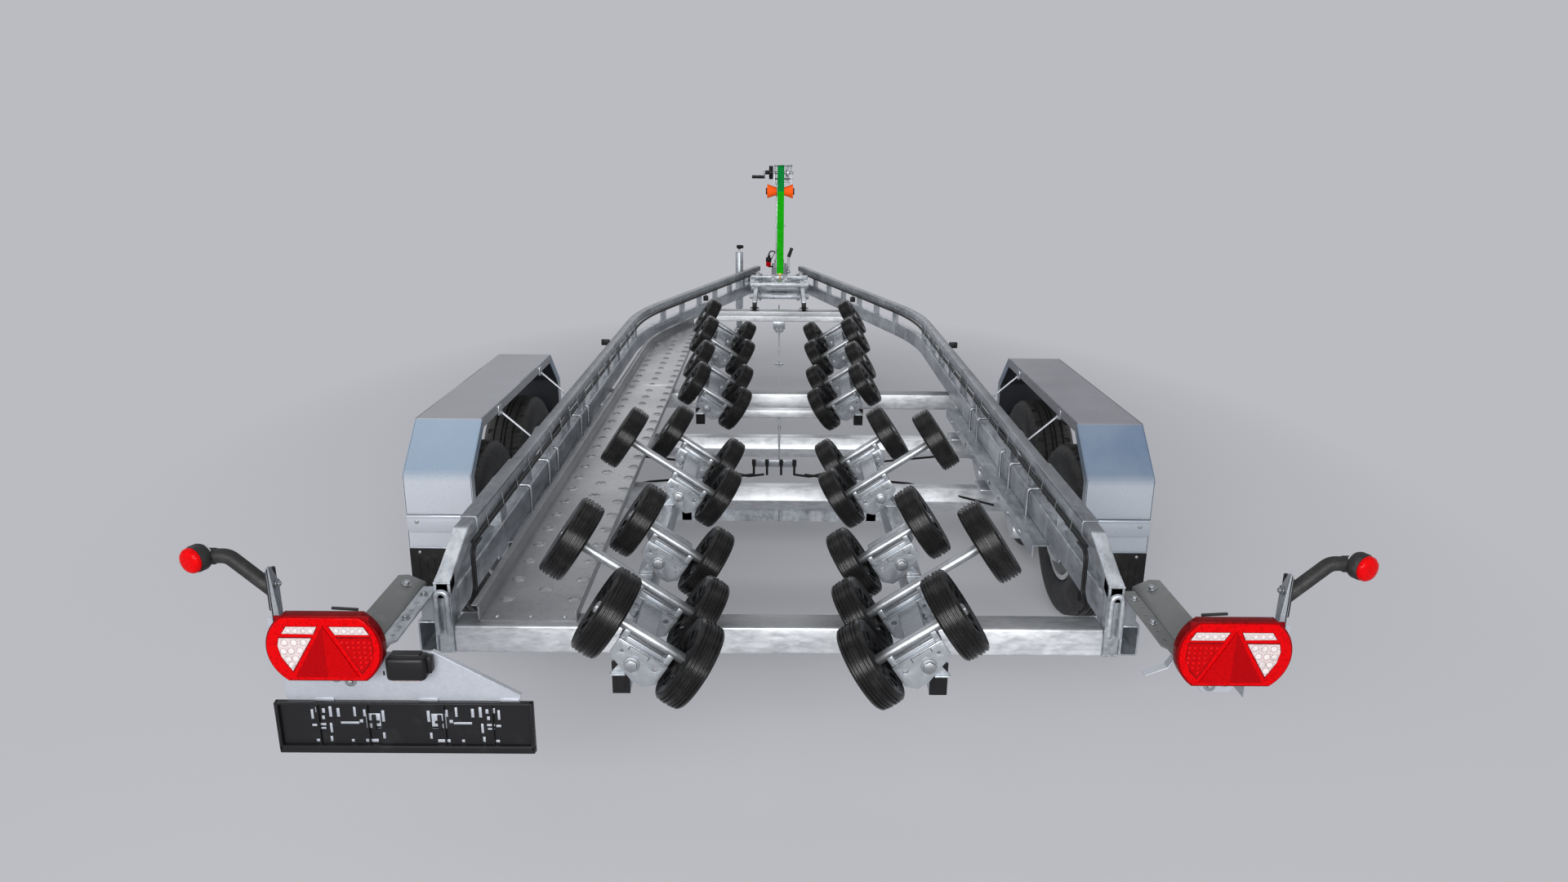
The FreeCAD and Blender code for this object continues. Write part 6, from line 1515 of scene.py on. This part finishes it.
def makeCrank():
    y, z, lean = winch["crankY"], winch["z"], math.radians(winch["lean"])
    reach = (y + 170 * math.cos(lean), z - 170 * math.sin(lean))
    steel = [bar((-119, y, z), (91, y, z), 9.9, 28), bar((52, y, z), (62, y, z), 13.5, 24, 0.5)]
    steel += [placed(block((52, 12, -2), (62, 16, 2), 0.7), shifted(0, y, z) @ Matrix.Rotation(
        math.radians(36 * index), 4, "X")) for index in range(10)]
    steel.append(bolt((-121, y, z), (-1, 0, 0), 9, 3, 11))
    arm = block((-121, -12, -11), (-113, 180, 11), 2.5, 2)
    steel.append(placed(arm, shifted(0, y, z) @ Matrix.Rotation(-lean, 4, "X")))
    hub = lathed([(0, 12), (0, 46), (3, 50), (12, 50), (14, 47.5), (17, 47.5), (19, 50), (27, 50), (30, 46), (30, 30),
                  (27, 27), (27, 12)], 56, True)
    black = [placed(hub, aimed((1, 0, 0), (-83, y, z)))]
    grip = lathed([(0, 10), (4, 13), (20, 12), (38, 13), (58, 11.6), (80, 12.6), (94, 13), (98, 9), (98, 0.5)], 28)
    black.append(placed(grip, aimed((-1, 0, 0), (-117, reach[0], reach[1]))))
    black.append(bar((-112, y, z), (-83, y, z), 15, 28, 2))
    return painted(zincPlate, *steel) + painted(blackCap, *black)


dressed("winch_crank_handle", makeCrank(), "winch_crank", "galvanised_steel", "winch_crank")

# Strap over the bow roller, down to its hook
strapPoints = [(-20, 2270.4, 1500), (-20, 2238.4, 1370), (-20, 2295.8, 762)]
strap = folded(strapPoints[1:], (50, 0, 0), 2.6, -1, 0)
# The run from the drum down to the bow roller takes the darker webbing as painted shade
strapTop = folded(strapPoints[:2], (50, 0, 0), 2.6, -1, 0)
loop = block((-20, 2291.5, 764), (30, 2299.5, 800), 2, 2)
seams = [block((-17, 2291.9, z), (27, 2292.6, z + 2.5), 0.3) for z in (772, 784, 796)]
dressed("winch_strap_web", painted(greenWeb, strap, loop) + painted(greenWebShaded, strapTop) + painted(blackLoom, *seams), "trailer", "green_webbing",
        "winch_strap")


def makeBowRoller():
    parts, caps = [], []
    for way in (-1, 1):
        cone = lathed([(25.5, 10.1), (25.5, 26), (28, 28.6), (60, 39.5), (90, 50.2), (93.5, 51), (95, 49.5), (95, 40),
                       (92, 36), (92, 10.1)], 56, True)
        parts.append(placed(cone, aimed((way, 0, 0), (0, 2270, 1370))))
        cap = lathed([(91, 10.2), (91, 25), (103, 25), (105, 22), (105, 10.2)], 36, True)
        caps.append(placed(cap, aimed((way, 0, 0), (0, 2270, 1370))))
    return painted(orangeRoller, *parts) + painted(blackCap, *caps)


dressed("bow_roller_cones", makeBowRoller(), "bow_roller", "bow_orange", "bow_roller")
print("winch ready")

# Coupling: head plates, overrun housing, bellows, ball head, handle and parking-brake lever

draw = {"z": 690, "housing": (2760, 3110), "half": 58, "front": 2960, "plateHalf": 197, "nose": 3608, "lever": 3000}


def makeCoupling():
    z, (rear, fore) = draw["z"], draw["housing"]
    steel, grey, black, bolts = [], [], [], []
    slope = math.tan(math.radians(rail["bend"]))
    head = block((-260, 2790, 537), (260, draw["front"], 547), 0)
    for way in (-1, 1):
        sliced(head, ((way * draw["plateHalf"], draw["front"], 0), (way, slope, 0)))
    steel.append(rounded(head, 1, 1, 50))
    front = block((-draw["plateHalf"], 2960, 537), (draw["plateHalf"], 2970, 655), 1.5)
    steel.append(front)
    body = block((-draw["half"], rear, 635), (draw["half"], fore, 745), 9, 3)
    grey.append(body)
    grey += [block((-62, y, 631), (62, y + 16, 749), 6, 2) for y in (rear + 4, 2935, fore - 20)]
    grey.append(block((-50, rear + 30, 742), (50, fore - 30, 751), 4, 2))
    for x in (-74, 74):
        grey.append(block((x - 14, rear + 30, 547), (x + 14, rear + 150, 556), 2))
        grey.append(block((x - 4 + (14 if x < 0 else -14), rear + 34, 550), (x + 4 + (14 if x < 0 else -14), rear + 146,
                                                                         660), 2))
        bolts += [bolt((x, y, 556), (0, 0, 1), 9.5, 8, 13) for y in (rear + 55, rear + 125)]
    bolts += [bolt((x, 2970, high), (0, 1, 0), 9.5, 8, 13) for x in (-165, 165) for high in (580, 625)]
    pitch = 30
    profile = [(0, 26), (0, 38)]
    for index in range(5):
        profile += [((index + 0.2) * pitch, 35), ((index + 0.42) * pitch, 43), ((index + 0.58) * pitch, 43.6),
                    ((index + 0.8) * pitch, 37)]
    profile += [(150, 35), (150, 26)]
    black.append(placed(lathed(profile, 48, True), aimed((0, 1, 0), (0, fore, z))))
    steel.append(bar((0, fore, z), (0, 3485, z), 24.8, 36))
    nose = bar((0, draw["nose"], 652), (0, draw["nose"], 728), 42, 48, 9)
    neck = block((-33, 3460, 671), (33, 3608, 717), 8, 3)
    carved(nose, [bar((0, draw["nose"], 640), (0, draw["nose"], 694), 25.2, 36)])
    grey += [nose, neck, bar((0, 3455, z), (0, 3485, z), 31, 36, 4)]
    handle = [block((-11, 3460, 728), (11, 3608, 752), 6, 3), block((-11, 3425, 758), (11, 3470, 775), 6, 3)]
    ramp = block((-11, 3446, 744), (11, 3500, 768), 5, 2)
    grey += handle + [ramp, block((-16, 3560, 722), (16, 3612, 742), 5, 2)]
    # Parking-brake lever with its toothed quadrant and grip
    lean = Matrix.Rotation(math.radians(-14), 4, "X")
    spot = shifted(75, draw["lever"], z) @ lean
    steel.append(placed(bar((0, 0, -10), (0, 0, 126), 8, 20), spot))
    leverGrip = lathed([(0, 8.2), (2, 13), (12, 15), (60, 13.2), (74, 15), (80, 11), (80, 0.5)], 24)
    black.append(placed(leverGrip, spot @ shifted(0, 0, 120) @ Matrix.Rotation(math.radians(20), 4, "Y")))
    steel.append(bar((58, draw["lever"], z), (84, draw["lever"], z), 15, 28, 2))
    steel.append(placed(block((64, -46, -30), (68, 46, 26), 2), shifted(0, draw["lever"], z)))
    bolts.append(bolt((84, draw["lever"], z), (1, 0, 0), 8, 5, 11))
    # Safety cable and plug on its holder beside the housing
    plug = [bar((-88, 2850, 752), (-88, 2850, 792), 20, 28, 4)]
    black += [bar((-88, 2850, 788), (-85, 2850, 824), 23, 28, 4), bar((-85, 2850, 822), (-84, 2850, 842), 11, 24, 2)]
    black.append(swept((-84, 2850, 836), [(0, 0, 12), ((-58, 2850, 848), (0, 1, 0), 150, 9), (-32, 0, -56)], 5.5,
                       sides=12))
    black.append(block((-92, 2840, 744), (-52, 2860, 756), 3))
    red = painted(redBright, *plug)
    return (painted(zincPlate, *steel) + painted(couplingGrey, *grey) + painted(blackCap, *black)
            + painted(zincBolt, *bolts) + red)


dressed("overrun_coupling", makeCoupling(), "trailer", "coupling_steel", "coupling")

# Jockey wheel: mast with clamp and knob, leg, fork, wheel

jockey = {"x": -322, "y": 2800, "mast": 30, "low": 420, "high": 868, "leg": 24, "wheelY": 2740, "wheelZ": 108}


def makeMast():
    x, y = jockey["x"], jockey["y"]
    slope = math.tan(math.radians(rail["bend"]))
    steel = [placed(lathed([(420, 24.3), (420, 29), (422, 30), (866, 30), (868, 29), (868, 27), (438, 27), (438, 24.3)], 40,
                           True), shifted(x, y, 0))]
    steel.append(bar((x, y, 862), (x, y, 872), 30, 40, 3))
    steel.append(bar((x, y, 865), (x, y, 896), 7, 20))
    band = lathed([(625, 30.2), (625, 38), (628, 40), (682, 40), (685, 38), (685, 30.2)], 40, True)
    steel.append(placed(band, shifted(x, y, 0)))
    arm = block((x, y - 28, 628), (-225, y + 28, 682), 3)
    sliced(arm, ((-draw["plateHalf"] - (draw["front"] - y) * slope, y, 0), (1, -slope, 0)))
    steel.append(arm)
    bolts = [bar((x - 30, y + 44, 655), (x - 4, y + 44, 655), 7, 20, 1), bolt((x - 34, y, 655), (-1, 0, 0), 9, 7, 12)]
    steel.append(block((x - 12, y + 34, 640), (x + 12, y + 52, 670), 3))
    knob = lathed([(0, 12), (3, 13.5), (8, 13), (12, 18), (18, 20), (26, 19.6), (31, 16), (32, 8), (32, 0.5)], 32)
    knob = placed(knob, shifted(x, y, 894))
    wings = [bar((x - 22, y, 911), (x + 34, y, 911), 13.5, 28, 8)]
    return painted(zincTube, *steel) + painted(zincBolt, *bolts) + painted(blackCap, knob, *wings)


dressed("jockey_mast_tube", makeMast(), "trailer", "galvanised_steel", "jockey_mast")

x, y = jockey["x"], jockey["y"]
leg = [placed(lathed([(256, 9), (256, 23), (258, 24), (638, 24), (640, 22), (640, 9)], 36, True), shifted(x, y, 0)),
       bar((x, y, 235.7), (x, y, 262), 9.95, 24), placed(lathed([(262, 24), (262, 23.2), (266, 23.2), (266, 24)], 36,
                                                               True), shifted(x, y, 0))]
legPieces = painted(zincPlate, *leg)
dressed("jockey_leg_tube", legPieces, "jockey_leg", "galvanised_steel", "jockey_leg")


def makeFork():
    x, y, top = jockey["x"], jockey["y"], 255.7
    wheelY, wheelZ = jockey["wheelY"], jockey["wheelZ"]
    parts = []
    for side in (x - 40, x + 34):
        cheek = block((side, wheelY - 20, wheelZ - 20), (side + 6, y + 30, top), 0)
        sliced(cheek, ((side, wheelY - 20, wheelZ - 20), (0, -(top - wheelZ + 20), 50)),
               ((side, wheelY + 20, wheelZ - 20), (0, top - 20 - wheelZ + 20, -70)))
        parts.append(rounded(cheek, 1.5, 2, 50))
        way = -1 if side < x else 1
        parts.append(bar((x + way * 34, wheelY, wheelZ), (x + way * 52, wheelY, wheelZ), 12, 6, 1))
        parts.append(bar((x + way * 40, wheelY, wheelZ), (x + way * 42.5, wheelY, wheelZ), 17, 24, 0.5))
    crown = block((x - 38, y - 30, top - 20), (x + 38, y + 30, top), 4, 3)
    carved(crown, [bar((x, y, top - 25), (x, y, top + 5), 10.1, 24)])
    parts.append(crown)
    parts.append(bar((x - 38, wheelY, wheelZ), (x + 38, wheelY, wheelZ), 7.95, 24))
    return painted(zincPlate, *parts)


dressed("jockey_fork_cheeks", makeFork(), "jockey_fork", "galvanised_steel", "jockey_fork")

tyre = lathed([(-10, 64), (-10, 66), (-22, 74), (-26, 80), (-24, 96), (-17, 106), (-9, 107.6), (-4, 106), (4, 106),
               (9, 107.6), (17, 106), (24, 96), (26, 80), (22, 74), (10, 66), (10, 64)], 56, True)
disc = lathed([(-29, 8.1), (-29, 18), (-27, 20), (-11, 20), (-5, 26), (-4, 52), (-13, 64), (-13, 67), (13, 67),
               (13, 64), (4, 52), (5, 26), (11, 20), (27, 20), (29, 18), (29, 8.1)], 48, True)
spin = aimed((1, 0, 0), (jockey["x"], jockey["wheelY"], jockey["wheelZ"]))
wheelPieces = painted(rubberRoller, placed(tyre, spin)) + painted(couplingGrey, placed(disc, spin))
dressed("jockey_wheel_tyre", wheelPieces, "jockey_wheel", "roller_rubber", "jockey_wheel")
print("coupling and jockey wheel ready")

# Looms inside the upper rails with wire clips, rear cable drops, brake rod and brake cables

loom = {"inset": 49, "z": 699, "radius": 7, "rear": -2950, "front": 2790}


def makeLoom():
    turn, last = railPath(loom["inset"], loom["front"], 0)
    x = rail["outer"] - loom["inset"]
    black = [swept((x, loom["rear"], loom["z"]), [(0, rail["bendStart"] - loom["rear"], 0), turn, last],
                   loom["radius"], sides=14)]
    clips = []
    y = loom["rear"] + 120
    while y < rail["bendStart"]:
        clips.append(swept((x + 4, y, loom["z"] - 8), [(-6, 0, 2), ((x - 2, y, loom["z"] + 2), (0, 1, 0), 78, 5),
                                                       (5, 0, 42)], 1.2, sides=6))
        y += 165
    # Cables that drop at the rear corner to the lamp arm
    for shift in (0, 9):
        black.append(swept((x - 4 - shift, loom["rear"] + 30, loom["z"]), [
            (0, -36 - shift, 0), ((x - 4 - shift, loom["rear"] - 6 - shift, loom["z"] - 26), (1, 0, 0), 90, 5),
            (0, 0, -78), ((x - 4 - shift, loom["rear"] - 58 - shift, loom["z"] - 104), (1, 0, 0), -62, 4),
            (0, -34, -18)], 3.6, sides=8))
    return black, clips


def makeBrakes():
    rod = [bar((0, -928, 443.7), (0, 2790, 443.7), 5, 16), bar((0, -1474, 450), (0, -900, 450), 4, 12)]
    rod += [bar((0, y, 443.7), (0, y + 40, 443.7), 8.6, 6, 1) for y in (-900, 900)]
    plate = [block((-110, -1480, 440), (72, -1474, 470), 2), block((-42, 1652, 452), (42, 1657, 507), 1.5),
             block((-20, 1640, 436), (-14, 1668, 462), 1.5), block((14, 1640, 436), (20, 1668, 462), 1.5),
             block((-4, 505, 412), (4, 535, 480), 2), block((-26, 514, 438), (26, 526, 450), 2)]
    bowden = []
    for x in (-104, -50, 8, 62):
        bowden += [bar((x, -1484, 468), (x, -1484, 408), 5, 12), bar((x, -1484, 474), (x, -1484, 448), 8, 12, 2)]
    for side in (-1, 1):
        for start, reach, ends in ((62, 250, -1173), (104, 330, -1863)):
            bowden.append(swept((side * start, -1484, 410), [
                (side * 60, 0, -8), ((side * (start + 60), -1484, 470), (0, 1, 0), -side * 20, 4),
                (side * reach, (ends + 1484) * 0.4, 20), (side * 300, (ends + 1484) * 0.5, -20)], 5, sides=10))
    return painted(zincBolt, *rod) + painted(zincPlate, *plate) + painted(blackLoom, *bowden)


loomBlack, loomClips = makeLoom()
looms = painted(blackLoom, *loomBlack) + painted(zincBolt, *loomClips)
looms += painted(blackCap, block((866, -350, 720), (908, -330, 750), 4, 3), block((876, -330, 724), (900, -322, 744), 3),
                 block((500, 1706, 640), (536, 1722, 676), 5, 3))
looms += painted(clearLamp, bar((518, 1721, 658), (518, 1727, 658), 13, 28, 2))
looms += painted(blackLoom, swept((518, 1712, 674), [(0, 0, 10), ((540, 1712, 684), (0, 1, 0), 90, 5), (40, 0, -4)], 3.5,
                                  sides=10))
dressed("wiring_and_brake_lines", both(looms) + makeBrakes(), "trailer", "black_plastic", "cables")
print("wiring ready")
